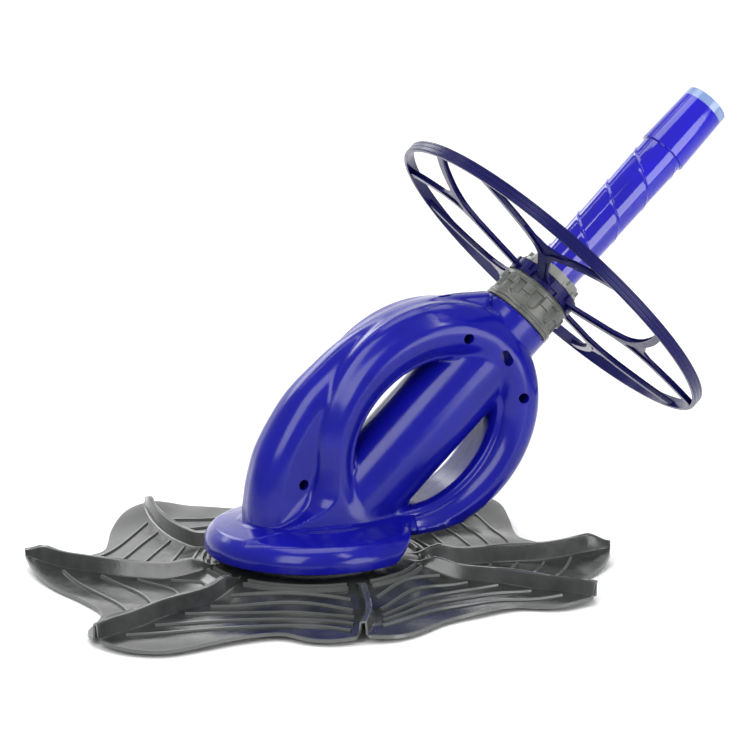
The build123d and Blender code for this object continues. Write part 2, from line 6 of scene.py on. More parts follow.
import bmesh
import bpy
import numpy as np
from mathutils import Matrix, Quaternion, Vector
from mathutils.geometry import delaunay_2d_cdt


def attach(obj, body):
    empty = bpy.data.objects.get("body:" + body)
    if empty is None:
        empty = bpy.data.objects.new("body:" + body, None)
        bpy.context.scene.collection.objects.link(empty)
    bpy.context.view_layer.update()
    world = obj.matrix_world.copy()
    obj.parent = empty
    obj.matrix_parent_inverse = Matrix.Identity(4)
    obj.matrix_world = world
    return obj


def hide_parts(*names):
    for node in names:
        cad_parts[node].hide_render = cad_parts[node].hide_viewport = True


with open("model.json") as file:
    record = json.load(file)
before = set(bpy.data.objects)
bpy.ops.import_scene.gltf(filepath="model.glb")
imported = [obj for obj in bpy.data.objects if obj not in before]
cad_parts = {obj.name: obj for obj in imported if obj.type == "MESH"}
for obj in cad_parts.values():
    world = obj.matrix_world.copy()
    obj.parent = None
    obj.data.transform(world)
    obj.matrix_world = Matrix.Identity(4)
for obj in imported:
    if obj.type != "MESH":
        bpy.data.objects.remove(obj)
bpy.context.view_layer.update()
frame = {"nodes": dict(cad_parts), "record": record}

# ---------- shared geometry (mm)
MM = 0.001
TILT = math.radians(45.0)
COS, SIN = math.cos(TILT), math.sin(TILT)
FOOT_Z = 26.0


def flow_point(s, t=0.0, y=0.0):
    """World point at distance s along the flow axis, t above it and y to the side."""
    return Vector((COS * (s - t), y, FOOT_Z + SIN * (s + t)))


def flow_coords(x, z):
    """Distance along the flow axis and height above it."""
    return (x * COS + (z - FOOT_Z) * SIN), (-x * SIN + (z - FOOT_Z) * COS)


def smooth_step(low, high, value):
    """0 below low, 1 above high, smooth between."""
    share = np.clip((np.asarray(value, float) - low) / (high - low), 0, 1)
    return share * share * (3 - 2 * share)


def spline(points, per_span=8):
    """Catmull-Rom curve through points."""
    pts = [np.array(p, float) for p in points]
    pts = [2 * pts[0] - pts[1]] + pts + [2 * pts[-1] - pts[-2]]
    out = []
    for a, b, c, d in zip(pts, pts[1:], pts[2:], pts[3:]):
        for i in range(per_span):
            u = i / per_span
            bend = (2 * a - 5 * b + 4 * c - d) * u ** 2 + (3 * b - a - 3 * c + d) * u ** 3
            out.append(tuple(0.5 * (2 * b + (c - a) * u + bend)))
    out.append(tuple(pts[-2]))
    return out


# ---------- materials
MOTTLE_SPREAD = (0.35, 0.65)  # noise values of the darker and the lighter colour
GLOSS_FINENESS = 3.3  # how much finer the uneven gloss is than the mottling
GLOSS_SPREAD = (0.3, 0.7)
LEAST_ROUGHNESS = 0.02
WORN_AND_LIT_POINTINESS = (0.52, 0.60)  # from no paling to full paling of an edge, partly wear and partly a painted highlight
WORN_AND_LIT_STRENGTH = 0.8
GRAIN_DEPTH = 0.001  # metres
COAT_ROUGHNESS = 0.04
CLEAR_IOR = 1.45


def noise_node(tree, scale, detail, roughness=0.5):
    """Noise texture in object space; scale is in features per metre."""
    place = tree.nodes.new("ShaderNodeTexCoord")
    noise = tree.nodes.new("ShaderNodeTexNoise")
    noise.inputs["Scale"].default_value = scale
    noise.inputs["Detail"].default_value = detail
    noise.inputs["Roughness"].default_value = roughness
    tree.links.new(place.outputs["Object"], noise.inputs["Vector"])
    return noise.outputs["Fac"]


def ramp_node(tree, source, low, high):
    """Colour ramp between two colours over the middle of the source's range."""
    ramp = tree.nodes.new("ShaderNodeValToRGB")
    for stop, position, colour in zip(ramp.color_ramp.elements, MOTTLE_SPREAD, (low, high)):
        stop.position = position
        stop.color = (*colour, 1)
    tree.links.new(source, ramp.inputs["Fac"])
    return ramp.outputs["Color"]


def range_node(tree, source, low, high, out_low, out_high):
    """Map a grey value from one range to another."""
    node = tree.nodes.new("ShaderNodeMapRange")
    limits = {"From Min": low, "From Max": high, "To Min": out_low, "To Max": out_high}
    for name, value in limits.items():
        node.inputs[name].default_value = value
    tree.links.new(source, node.inputs["Value"])
    return node.outputs["Result"]


def mix_node(tree, factor, first, second):
    """Mix two colours, each a socket or an RGB triple, by a factor socket."""
    node = tree.nodes.new("ShaderNodeMix")
    node.data_type = "RGBA"
    tree.links.new(factor, node.inputs["Factor"])
    for name, value in (("A", first), ("B", second)):
        socket = [i for i in node.inputs if i.name == name and i.type == "RGBA"][0]
        if isinstance(value, tuple):
            socket.default_value = (*value, 1)
        else:
            tree.links.new(value, socket)
    return [o for o in node.outputs if o.type == "RGBA"][0]


def moulded(name, light, dark, roughness, grain=900.0, bump=0.03, wear_and_highlight=None, coat=0.0, mottle=28.0,
            specular=0.5, metallic=0.0, shine=0.05):
    """Moulded material: mottled colour, uneven gloss, fine grain and paler edges, partly worn and partly a
    painted highlight.

    grain and mottle are in features per metre; shine is how far the roughness varies.
    """
    material = bpy.data.materials.new(name)
    material.use_nodes = True
    tree = material.node_tree
    shader = tree.nodes["Principled BSDF"]
    colour = ramp_node(tree, noise_node(tree, mottle, 4.0, 0.6), dark, light)
    # Edges paled by pointiness: partly real wear, partly a painted highlight along edges and rib tops.
    if wear_and_highlight:
        edges = tree.nodes.new("ShaderNodeNewGeometry").outputs["Pointiness"]
        worn_and_lit = range_node(tree, edges, *WORN_AND_LIT_POINTINESS, 0.0, WORN_AND_LIT_STRENGTH)
        colour = mix_node(tree, worn_and_lit, colour, wear_and_highlight)
    tree.links.new(colour, shader.inputs["Base Color"])
    uneven = noise_node(tree, mottle * GLOSS_FINENESS, 5.0, 0.65)
    least = max(roughness - shine, LEAST_ROUGHNESS)
    gloss = range_node(tree, uneven, *GLOSS_SPREAD, least, roughness + shine)
    tree.links.new(gloss, shader.inputs["Roughness"])
    relief = tree.nodes.new("ShaderNodeBump")
    relief.inputs["Strength"].default_value = bump
    relief.inputs["Distance"].default_value = GRAIN_DEPTH
    tree.links.new(noise_node(tree, grain, 2.0), relief.inputs["Height"])
    tree.links.new(relief.outputs["Normal"], shader.inputs["Normal"])
    shader.inputs["Coat Weight"].default_value = coat
    shader.inputs["Coat Roughness"].default_value = COAT_ROUGHNESS
    shader.inputs["Specular IOR Level"].default_value = specular
    shader.inputs["Metallic"].default_value = metallic
    return material


def clear_tint(name, light, dark, roughness, transmission):
    """Tinted clear plastic with a faint mottling and a glossy skin."""
    material = moulded(name, light, dark, roughness, grain=300.0, bump=0.02, coat=0.5, mottle=16.0,
                       shine=0.02, specular=0.4)
    shader = material.node_tree.nodes["Principled BSDF"]
    shader.inputs["Transmission Weight"].default_value = transmission
    shader.inputs["IOR"].default_value = CLEAR_IOR
    return material


# Each wear colour is a pale edge colour: partly wear, partly a painted highlight.
MATERIALS = {
    "blue_gloss": moulded(
        "blue_gloss", (0.0045, 0.0050, 0.235), (0.0036, 0.0040, 0.195), 0.17,
        grain=260.0, bump=0.012, wear_and_highlight=(0.012, 0.014, 0.33), specular=0.30),
    "blue_inner": moulded(
        "blue_inner", (0.02, 0.025, 0.30), (0.012, 0.015, 0.22), 0.38,
        wear_and_highlight=(0.05, 0.06, 0.45)),
    "black_rubber": moulded(
        "black_rubber", (0.016, 0.016, 0.018), (0.009, 0.009, 0.010), 0.55,
        bump=0.12),
    "white_plastic": moulded(
        "white_plastic", (0.72, 0.73, 0.72), (0.62, 0.63, 0.62), 0.35),
    "grey_elastomer": moulded(
        "grey_elastomer", (0.040, 0.043, 0.041), (0.014, 0.016, 0.015), 0.19,
        grain=420.0, bump=0.05, wear_and_highlight=(0.11, 0.115, 0.112), mottle=22.0, shine=0.09),
    "grey_plastic": moulded(
        "grey_plastic", (0.105, 0.109, 0.099), (0.062, 0.065, 0.059), 0.30,
        grain=700.0, bump=0.06, wear_and_highlight=(0.20, 0.21, 0.19), mottle=40.0, shine=0.08),
    "clear_blue": clear_tint(
        "clear_blue", (0.006, 0.001, 0.46), (0.004, 0.001, 0.30), 0.05, 0.18),
    "clear_light_blue": clear_tint(
        "clear_light_blue", (0.24, 0.34, 0.60), (0.18, 0.28, 0.54), 0.10, 0.40),
    "navy_plastic": moulded(
        "navy_plastic", (0.003, 0.003, 0.038), (0.002, 0.002, 0.022), 0.24,
        grain=600.0, wear_and_highlight=(0.008, 0.008, 0.08), mottle=30.0, specular=0.14),
    "stainless": moulded(
        "stainless", (0.33, 0.33, 0.34), (0.24, 0.24, 0.25), 0.38,
        grain=1600.0, bump=0.05, metallic=1.0),
    "cast_weight": moulded(
        "cast_weight", (0.11, 0.11, 0.11), (0.06, 0.06, 0.06), 0.6,
        grain=500.0, bump=0.3),
    "foam": moulded(
        "foam", (0.80, 0.79, 0.74), (0.70, 0.69, 0.64), 0.8,
        grain=1200.0, bump=0.4),
}


# ---------- meshes
def add_mesh(name, verts, faces, slot, body, sharp=35.0, orient=True, stands_for=()):
    """New object from vertices in mm, riding on a body and standing for CAD nodes."""
    mesh = bpy.data.meshes.new(name)
    corners = np.asarray(verts, float) * MM
    mesh.from_pydata(corners.tolist(), [], [list(map(int, f)) for f in faces])
    mesh.update()
    obj = bpy.data.objects.new(name, mesh)
    bpy.context.scene.collection.objects.link(obj)
    if orient:
        face_outwards(obj)
    shade(obj, sharp)
    mesh.materials.append(MATERIALS[slot])
    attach(obj, body)
    if stands_for:
        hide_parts(*stands_for)
    return obj


def face_outwards(obj):
    """Point all faces outwards."""
    bm = bmesh.new()
    bm.from_mesh(obj.data)
    bmesh.ops.recalc_face_normals(bm, faces=bm.faces)
    bm.to_mesh(obj.data)
    bm.free()


def shade(obj, sharp=35.0):
    """Smooth shading, broken at edges sharper than an angle in degrees."""
    obj.data.polygons.foreach_set("use_smooth", [True] * len(obj.data.polygons))
    obj.data.set_sharp_from_angle(angle=math.radians(sharp))


def apply_modifiers(obj):
    """Bake an object's modifiers into its mesh."""
    graph = bpy.context.evaluated_depsgraph_get()
    mesh = bpy.data.meshes.new_from_object(obj.evaluated_get(graph))
    obj.modifiers.clear()
    obj.data = mesh


def add_modifier(obj, kind, **settings):
    """New modifier of a kind with its settings."""
    modifier = obj.modifiers.new(kind.lower(), kind)
    for name, value in settings.items():
        setattr(modifier, name, value)


def odd_crossings(point, places, lines):
    """Whether a point lies inside outlines given as lines between places, holes left out."""
    odd = False
    for a, b in lines:
        (ax, ay), (bx, by) = places[a], places[b]
        if (ay > point.y) != (by > point.y) and point.x < ax + (bx - ax) * (point.y - ay) / (by - ay):
            odd = not odd
    return odd


def cut_flat(obj, point, normal, sharp=35.0):
    """Remove what lies on the normal's side of a plane (mm) and close the cut."""
    bm = bmesh.new()
    bm.from_mesh(obj.data)
    cut = bmesh.ops.bisect_plane(
        bm, geom=bm.verts[:] + bm.edges[:] + bm.faces[:], dist=1e-7, plane_co=Vector(point) * MM,
        plane_no=Vector(normal), clear_outer=True,
    )
    rim = [e for e in cut["geom_cut"] if isinstance(e, bmesh.types.BMEdge) and e.is_boundary]
    corners = list({v for e in rim for v in e.verts})
    number = {v: i for i, v in enumerate(corners)}
    flat = Vector(normal).to_track_quat("Z", "Y").to_matrix().inverted()
    places = [(flat @ v.co).to_2d() for v in corners]
    lines = [tuple(number[v] for v in e.verts) for e in rim]
    filled = delaunay_2d_cdt(places, lines, [], 1, 1e-9)
    for face in filled[2]:
        ring = [corners[filled[3][i][0]] for i in face if filled[3][i]]
        middle = sum((filled[0][i] for i in face), Vector((0, 0))) / len(face)
        if len(ring) == 3 and odd_crossings(middle, places, lines) and not bm.faces.get(ring):
            bm.faces.new(ring)
    bmesh.ops.recalc_face_normals(bm, faces=bm.faces)
    bm.to_mesh(obj.data)
    bm.free()
    shade(obj, sharp)


def carve(obj, cutters, sharp=35.0):
    """Subtract solid cutters, each (verts, faces) in mm, from an object."""
    verts, faces = merge(cutters)
    mesh = bpy.data.meshes.new("cutter")
    mesh.from_pydata((np.asarray(verts) * MM).tolist(), [], faces)
    cutter = bpy.data.objects.new("cutter", mesh)
    bpy.context.scene.collection.objects.link(cutter)
    face_outwards(cutter)
    add_modifier(obj, "BOOLEAN", operation="DIFFERENCE", solver="EXACT", object=cutter)
    apply_modifiers(obj)
    bpy.data.objects.remove(cutter)
    bpy.data.meshes.remove(mesh)
    shade(obj, sharp)


def merge(pieces):
    """Join several (verts, faces) into one."""
    verts, faces = [], []
    for piece_verts, piece_faces in pieces:
        faces += [[i + len(verts) for i in face] for face in piece_faces]
        verts += [tuple(v) for v in piece_verts]
    return verts, faces


def prism(outline, low, high, place):
    """Closed outline of (u, v) extruded from low to high; place maps (u, v, w) to the world."""
    n = len(outline)
    verts = [place(u, v, w) for w in (low, high) for u, v in outline]
    faces = [list(range(n)), list(range(n, 2 * n))]
    faces += [[i, (i + 1) % n, n + (i + 1) % n, n + i] for i in range(n)]
    return verts, faces


def turned(profile, steps, swell=None):
    """Closed profile of (radius, s) turned about the flow axis; swell adds to the radius."""
    verts, faces = [], []
    n = len(profile)
    for i in range(steps):
        angle = 2 * math.pi * i / steps
        for r, s in profile:
            r = r + (swell(angle, r, s) if swell else 0.0)
            verts.append(flow_point(s, r * math.sin(angle), r * math.cos(angle)))
    for i in range(steps):
        j = (i + 1) % steps
        for k in range(n):
            m = (k + 1) % n
            faces.append([i * n + k, j * n + k, j * n + m, i * n + m])
    return verts, faces


def swept(points, sides, profile):
    """Closed bar of a (side, up) profile along points; sides gives each point's two directions."""
    verts, faces = [], []
    n = len(profile)
    for point, (side, up) in zip(points, sides):
        for a, b in profile:
            verts.append(Vector(point) + Vector(side) * a + Vector(up) * b)
    for i in range(len(points) - 1):
        for k in range(n):
            m = (k + 1) % n
            faces.append([i * n + k, (i + 1) * n + k, (i + 1) * n + m, i * n + m])
    faces.append(list(range(n)))
    faces.append([(len(points) - 1) * n + k for k in range(n)])
    return verts, faces


def circle(centre, radius, steps=48, stretch=0.0, turn=0.0):
    """Circle or, with a stretch, an oblong of (u, v) points."""
    points = []
    for i in range(steps):
        angle = 2 * math.pi * (i + 0.5) / steps
        u = radius * math.cos(angle) + math.copysign(stretch, math.cos(angle))
        v = radius * math.sin(angle)
        points.append((
            centre[0] + u * math.cos(turn) - v * math.sin(turn),
            centre[1] + u * math.sin(turn) + v * math.cos(turn),
        ))
    return points


# ---------- implicit shapes (mm)
PULLS = 3  # rounds that bring vertices onto the surface
PULL_SHARE = 0.8  # part of the way to the surface in each round
LONGEST_PULL = 0.7  # longest move in grid steps
PROBE = 0.05  # half the distance a slope is measured over
LEAST_SLOPE = 0.05  # keeps nearly flat places from jumping


def smooth_min(a, b, k):
    """Union with a fillet about k wide."""
    h = np.clip(0.5 + 0.5 * (b - a) / k, 0, 1)
    return b + (a - b) * h - k * h * (1 - h)


def smooth_max(a, b, k):
    """Intersection with a fillet about k wide."""
    return -smooth_min(-a, -b, k)


def round_max(a, b, r):
    """Intersection with an edge rounded to radius r."""
    u, v = np.maximum(a + r, 0), np.maximum(b + r, 0)
    return np.minimum(np.maximum(a, b), -r) + np.sqrt(u * u + v * v)


def ellipse(u, v, centre, radii):
    """Nearly the signed distance to an ellipse."""
    p, q = (u - centre[0]) / radii[0], (v - centre[1]) / radii[1]
    m = np.sqrt(p * p + q * q) + 1e-9
    slope = np.sqrt((p / radii[0]) ** 2 + (q / radii[1]) ** 2) / m + 1e-9
    return (m - 1) / slope


def outline_distance(x, z, points):
    """Signed distance to a closed polygon, negative inside."""
    best = np.full(x.shape, 1e9)
    inside = np.zeros(x.shape, bool)
    for (ax, az), (bx, bz) in zip(points, points[1:] + points[:1]):
        ex, ez = bx - ax, bz - az
        h = np.clip(((x - ax) * ex + (z - az) * ez) / (ex * ex + ez * ez), 0, 1)
        best = np.minimum(best, np.hypot(x - ax - h * ex, z - az - h * ez))
        if az != bz:
            inside ^= ((az > z) != (bz > z)) & (x < ex * (z - az) / ez + ax)
    return np.where(inside, -best, best)


class DistanceMap:
    """Signed distance to an outline, looked up between grid points."""

    def __init__(self, points, low, high, step=1.0):
        self.low, self.step = low, step
        xs = np.arange(low[0], high[0] + step, step)
        zs = np.arange(low[1], high[1] + step, step)
        self.values = outline_distance(*np.meshgrid(xs, zs, indexing="ij"), points)

    def __call__(self, x, z):
        u = np.clip((x - self.low[0]) / self.step, 0, self.values.shape[0] - 1.001)
        v = np.clip((z - self.low[1]) / self.step, 0, self.values.shape[1] - 1.001)
        i, j = u.astype(int), v.astype(int)
        fu, fv = u - i, v - j
        low = self.values[i, j] * (1 - fu) + self.values[i + 1, j] * fu
        high = self.values[i, j + 1] * (1 - fu) + self.values[i + 1, j + 1] * fu
        return low * (1 - fv) + high * fv


def neighbours(index, others, cells):
    """Cell numbers round each crossed grid edge, -1 where there is no cell."""
    ring = []
    for d0, d1 in ((1, 1), (0, 1), (0, 0), (1, 0)):
        cell = index.copy()
        cell[:, others[0]] -= d0
        cell[:, others[1]] -= d1
        ok = np.all((cell >= 0) & (cell < cells), axis=1)
        flat = np.full(len(cell), -1)
        flat[ok] = np.ravel_multi_index(cell[ok].T, cells)
        ring.append(flat)
    return np.stack(ring, 1)


def surface_nets(field, low, high, step):
    """Quad mesh of field = 0 in a box, its vertices projected onto the surface."""
    axes = [np.arange(low[i], high[i] + step, step) for i in range(3)]
    values = np.empty([len(a) for a in axes])
    for i, x in enumerate(axes[0]):
        yy, zz = np.meshgrid(axes[1], axes[2], indexing="ij")
        values[i] = field(np.full(yy.shape, x), yy, zz)
    solid = values < 0
    cells = [n - 1 for n in values.shape]
    total = np.zeros((cells[0] * cells[1] * cells[2], 3))
    count = np.zeros(len(total))
    crossings = []
    for axis in range(3):
        first, second = [slice(None)] * 3, [slice(None)] * 3
        first[axis], second[axis] = slice(0, -1), slice(1, None)
        first, second = tuple(first), tuple(second)
        hit = solid[first] != solid[second]
        index = np.argwhere(hit)
        place = index.astype(float)
        place[:, axis] += values[first][hit] / (values[first][hit] - values[second][hit])
        ring = neighbours(index, [k for k in range(3) if k != axis], cells)
        for corner in ring.T:
            ok = corner >= 0
            count += np.bincount(corner[ok], minlength=len(total))
            for k in range(3):
                total[:, k] += np.bincount(corner[ok], weights=place[ok, k], minlength=len(total))
        flip = solid[first][hit] if axis != 1 else ~solid[first][hit]
        ring[~flip] = ring[~flip][:, ::-1]
        crossings.append(ring[np.all(ring >= 0, axis=1)])
    used = count > 0
    number = np.full(len(total), -1)
    number[used] = np.arange(used.sum())
    verts = np.array(low) + total[used] / count[used][:, None] * step
    for _ in range(PULLS):
        verts = verts - pull(field, verts, step)
    return verts, number[np.concatenate(crossings)]


def pull(field, verts, step):
    """Step that brings each vertex nearer to field = 0."""
    value = field(*verts.T)
    slopes = []
    for k in range(3):
        shift = np.eye(3)[k] * PROBE
        slopes.append((field(*(verts + shift).T) - field(*(verts - shift).T)) / (2 * PROBE))
    slope = np.stack(slopes, 1)
    move = slope * (value / np.maximum((slope ** 2).sum(1), LEAST_SLOPE))[:, None]
    length = np.linalg.norm(move, axis=1)
    return PULL_SHARE * move * np.minimum(1, LONGEST_PULL * step / np.maximum(length, 1e-9))[:, None]


# ---------- body shells and foot flange
FAIRING_PROFILE = [
    (-62, 30), (-61, 48), (-60, 66), (-56, 90), (-47, 117), (-25, 153), (0, 178), (27, 199.5), (59, 217),
    (90, 227.5), (123, 232.5), (157, 233.5),
]
FAIRING_BACK = [(157, 150), (80, 30)]  # closes the profile inside the ring
FAIRING_MAP = ((-90, 0), (230, 260))  # corners (x, z) of its distance map
FAIRING_DEPTH = (29.0, 25.5)  # half width at the foot and at the top
FAIRING_RISE = (60.0, 120.0)  # height where the width starts to change, and over how much
FAIRING_FALL = (23.0, 0.24)  # depth where it starts to fall towards the ring, and slope
FAIRING_EDGE = 24.0  # edge radius
TORUS = ((140.0, 2.0), (107.0, 90.0), 39.0, 20.0)  # centre, radii, half width, edge radius
SHOULDER = ((140.0, 4.0), (109.0, 94.0), 31.5, 12.0)
SHOULDER_END = (-8.0, 12.0)  # height over the flow axis where it ends, and its fillet
THROAT = ((130.0, 0.0), (72.0, 52.0))  # hand opening: centre and radii
THROAT_EDGE = 22.0
LIP_STEP = (27.0, 3.0)  # where the opening widens, and by how much
LIP_RUN = 1.5
BARREL_RADIUS = 37.0
BARREL_SPAN = (20.0, 225.0)
NECK_RADIUS = 33.5
NECK_SPAN = (200.0, 258.5)
NECK_EDGE = 0.8
FILLETS = {"shoulder": 4.0, "leg": 14.0, "fairing": 2.5, "barrel": 4.0, "flange": 8.0}
SPLIT_Z = 50.0  # shells above, flange below
LEG_X = 20.0
LEG_TOP = (92.0, 20.0)  # height and rounding of the leg's top
LEG_BOTTOM = SPLIT_Z - 2.0
FLARE = (35.0, 46.0, 11.0)  # leg radius, spread near the flange and its decay
FLARE_FOOT = (SPLIT_Z - 4.0, 6.0)  # height where the flare starts, and its run below
FLARE_END = 62.0  # where the flare runs out behind the leg
RING_BOTTOM = 29.0
RING_BOTTOM_EDGE = 8.0
FLANGE_RADIUS = 93.0
FLANGE_TOP = 49.0
FLANGE_LIP = 24.0
FLANGE_FALL = (58.0, 0.17)  # radius where the top starts to fall, and its slope
FLANGE_EDGES = (13.0, 4.0, 1.5)  # edge radius outside, at the trimmed end and under the lip
FLANGE_TRIM = 80.0
TRIM_LEAN = 1.3  # how far the end of the dome leans under the ring
FLANGE_WALL = 5.0
FLANGE_LEG_Z = 42.0  # lowest part of the leg that belongs to the flange
FLANGE_RING_START = 54.0  # where the flange takes over the form of the ring
LEG_OVERLAP = (1.0, 6.0, 0.5)  # inset, height over the split and edge of the shared form
HUB_RADII = (46.0, 37.0)
HUB_FOOT = 12.2
HUB_TOP = FLANGE_TOP - 2.0
SCREW_PLACES = [(-16.0, 83.0), (125.0, 200.0), (176.0, 146.0)]
SCREW_WELL = (4.5, 6.0)  # radius, and how near the seam its floor is
SCREW_HEAD = 4.2  # radii of every screw
SCREW_SHANK = 1.9
BODY_SCREW = (-5.6, -2.6, 14.0)  # y of the head's two faces and of the tip
FLANGE_SCREW = (38.0, 41.0, SPLIT_Z - 1.0)  # z of the head's two faces and of the tip
FLANGE_SCREW_RING = 53.0
FLANGE_SCREW_TURNS = [math.radians(a) for a in (60, 120, 240, 300)]
PORT = ((223.0, -3.0), 4.0, 3.4, math.radians(75))  # centre, end radius, half straight, turn
PORT_FLOOR = 28.5
LATCH_HOLE = (228.0, 3.0, 1.5, 50.0)  # s, radius, half straight and floor of the hole on top
OUTSIDE = 90.0  # cutters start beyond the body
SEAM = 0.1  # half the gap between the shells
JOINT_GAP = 0.3  # gap between the shells and the flange
SHELL_STEP = 1.5
FLANGE_STEP = SHELL_STEP * 1.05
SHELL_BOX = ((-78.0, -78.0, 20.0), (218.0, 78.0, 246.0))
FLANGE_BOX = ((-98.0, -98.0, 8.0), (88.0, 98.0, 58.0))
fairing_distance = DistanceMap(spline(FAIRING_PROFILE) + FAIRING_BACK, *FAIRING_MAP)


def leg_field(x, y, z):
    """Waisted leg that flares onto the foot flange."""
    from_flange = np.maximum(z - FLARE_FOOT[0], -FLARE_FOOT[1])
    spread = FLARE[1] * np.exp(-from_flange / FLARE[2])
    reach = np.hypot(x - LEG_X, y) + np.maximum(x - FLARE_END, 0.0)
    side = (reach - FLARE[0] - spread) / np.sqrt(1 + (spread / FLARE[2]) ** 2)
    return np.maximum(smooth_max(side, z - LEG_TOP[0], LEG_TOP[1]), LEG_BOTTOM - z)


def opening_field(s, t, y):
    """Negative outside the hand opening, which steps wider near the faces of the ring."""
    wider = LIP_STEP[1] * np.clip((np.abs(y) - LIP_STEP[0]) / LIP_RUN + 0.5, 0, 1)
    return wider - ellipse(s, t, *THROAT)


def fairing_field(x, y, z):
    """Rounded fairing along the front and top of the body."""
    rise = np.clip((z - FAIRING_RISE[0]) / FAIRING_RISE[1], 0, 1)
    depth = FAIRING_DEPTH[0] + (FAIRING_DEPTH[1] - FAIRING_DEPTH[0]) * rise
    front = fairing_distance(x, z)
    depth = depth - FAIRING_FALL[1] * np.clip(-front - FAIRING_FALL[0], 0.0, 40.0)
    return round_max(front, np.abs(y) - depth, FAIRING_EDGE)


def body_field(x, y, z):
    """Filled outer form of the body: ring, flared leg, fairing, barrel and neck."""
    s, t = flow_coords(x, z)
    side = np.abs(y)
    torus = round_max(ellipse(s, t, TORUS[0], TORUS[1]), side - TORUS[2], TORUS[3])
    band = round_max(ellipse(s, t, SHOULDER[0], SHOULDER[1]), side - SHOULDER[2], SHOULDER[3])
    band = smooth_max(band, SHOULDER_END[0] - t, SHOULDER_END[1])
    body = smooth_min(torus, band, FILLETS["shoulder"])
    body = smooth_min(body, leg_field(x, y, z), FILLETS["leg"])
    body = smooth_min(body, fairing_field(x, y, z), FILLETS["fairing"])
    body = np.maximum(body, round_max(opening_field(s, t, y), side - TORUS[2], THROAT_EDGE))
    radius = np.hypot(t, y)
    barrel = np.maximum(np.maximum(radius - BARREL_RADIUS, s - BARREL_SPAN[1]), BARREL_SPAN[0] - s)
    body = smooth_min(body, barrel, FILLETS["barrel"])
    neck = round_max(np.maximum(radius - NECK_RADIUS, NECK_SPAN[0] - s), s - NECK_SPAN[1], NECK_EDGE)
    return round_max(np.minimum(body, neck), RING_BOTTOM - z, RING_BOTTOM_EDGE)


def flange_field(x, y, z):
    """Domed foot flange with its hub, trimmed behind and hollow beneath."""
    r = np.hypot(x, y)
    top = z - FLANGE_TOP + np.maximum(r - FLANGE_FALL[0], 0) * FLANGE_FALL[1]
    outside = round_max(r - FLANGE_RADIUS, top, FLANGE_EDGES[0])
    behind = x - FLANGE_TRIM + (FLANGE_TOP - z) * TRIM_LEAN
    outside = round_max(outside, behind / math.hypot(1.0, TRIM_LEAN), FLANGE_EDGES[1])
    dome = np.maximum(outside, -FLANGE_WALL - outside)
    dome = round_max(dome, FLANGE_LIP - z, FLANGE_EDGES[2])
    inset, above, edge = LEG_OVERLAP
    zone = np.maximum(np.maximum(r - FLANGE_RADIUS + inset, x - FLANGE_TRIM), z - SPLIT_Z - above)
    leg = round_max(body_field(x, y, z), zone, edge)
    under_ring = np.maximum(RING_BOTTOM - z, FLANGE_RING_START - x)
    leg = np.maximum(leg, np.minimum(FLANGE_LEG_Z - z, under_ring))
    dome = smooth_min(dome, leg, FILLETS["flange"])
    hub = np.maximum(np.maximum(r - HUB_RADII[0], HUB_FOOT - z), z - HUB_TOP)
    dome = np.minimum(dome, hub)
    return np.maximum(dome, np.minimum(HUB_RADII[1] - r, HUB_TOP - z))


def upright_place(u, v, w):
    """Place (x, y, z) for a prism that stands upright."""
    return (u, v, w)


def side_place(u, v, w):
    """Place (x, z, y) for a prism that runs across the seam."""
    return (u, w, v)


def flow_place(u, v, w):
    """Place (s, t, y) for a prism that runs across the seam."""
    return flow_point(u, v, w)


def latch_place(u, v, w):
    """Place for a prism that runs along t, with u from the latch hole's s and v to the side."""
    return flow_point(u, w, v - LATCH_HOLE[1])


def floor_cutter():
    """What the flange takes away from the foot of the shells."""
    arc = []
    radius = FLANGE_RADIUS + JOINT_GAP
    edge = math.acos((FLANGE_TRIM + JOINT_GAP) / radius)
    steps = 96
    for i in range(steps + 1):
        angle = edge + (2 * math.pi - 2 * edge) * i / steps
        arc.append((radius * math.cos(angle), radius * math.sin(angle)))
    return prism(arc, -40.0, SPLIT_Z, upright_place)


def shell_cutters():
    """Screw wells, bypass port and latch hole of the near shell."""
    well, floor = SCREW_WELL
    cutters = [prism(circle(place, well), -OUTSIDE, -floor, side_place) for place in SCREW_PLACES]
    port = circle(PORT[0], PORT[1], stretch=PORT[2], turn=PORT[3])
    cutters.append(prism(port, -OUTSIDE, -PORT_FLOOR, flow_place))
    hole = circle((LATCH_HOLE[0], 0.0), LATCH_HOLE[1], stretch=LATCH_HOLE[2])
    cutters.append(prism(hole, LATCH_HOLE[3], OUTSIDE, latch_place))
    return cutters


def screw(place, levels, turn_to):
    """Head and shank of a screw; levels are its head's two faces and its tip."""
    head = prism(circle(place, SCREW_HEAD, 24), levels[0], levels[1], turn_to)
    shank = prism(circle(place, SCREW_SHANK, 24), levels[1], levels[2], turn_to)
    return [head, shank]


shell_mesh = surface_nets(body_field, *SHELL_BOX, SHELL_STEP)
for name, side in (("right", -1), ("left", 1)):
    shell = add_mesh(name + "_shell_moulding", *shell_mesh, "blue_gloss", "body",
                     stands_for=[name + "_body_shell"])
    cut_flat(shell, (0, side * SEAM, 0), (0, -side, 0))
    carve(shell, [floor_cutter()] + (shell_cutters() if side < 0 else []))

flange_mesh = surface_nets(flange_field, *FLANGE_BOX, FLANGE_STEP)
flange = add_mesh("foot_flange_moulding", *flange_mesh, "blue_gloss", "body", stands_for=["foot_flange"])
cut_flat(flange, (0, 0, SPLIT_Z), (0, 0, 1))

screws = []
for place in SCREW_PLACES:
    screws += screw(place, BODY_SCREW, side_place)
add_mesh("body_screw_set", *merge(screws), "stainless", "body", stands_for=["body_screws"])
screws = []
for turn in FLANGE_SCREW_TURNS:
    place = (FLANGE_SCREW_RING * math.cos(turn), FLANGE_SCREW_RING * math.sin(turn))
    screws += screw(place, FLANGE_SCREW, upright_place)
add_mesh("flange_screw_set", *merge(screws), "stainless", "body", stands_for=["flange_screws"])


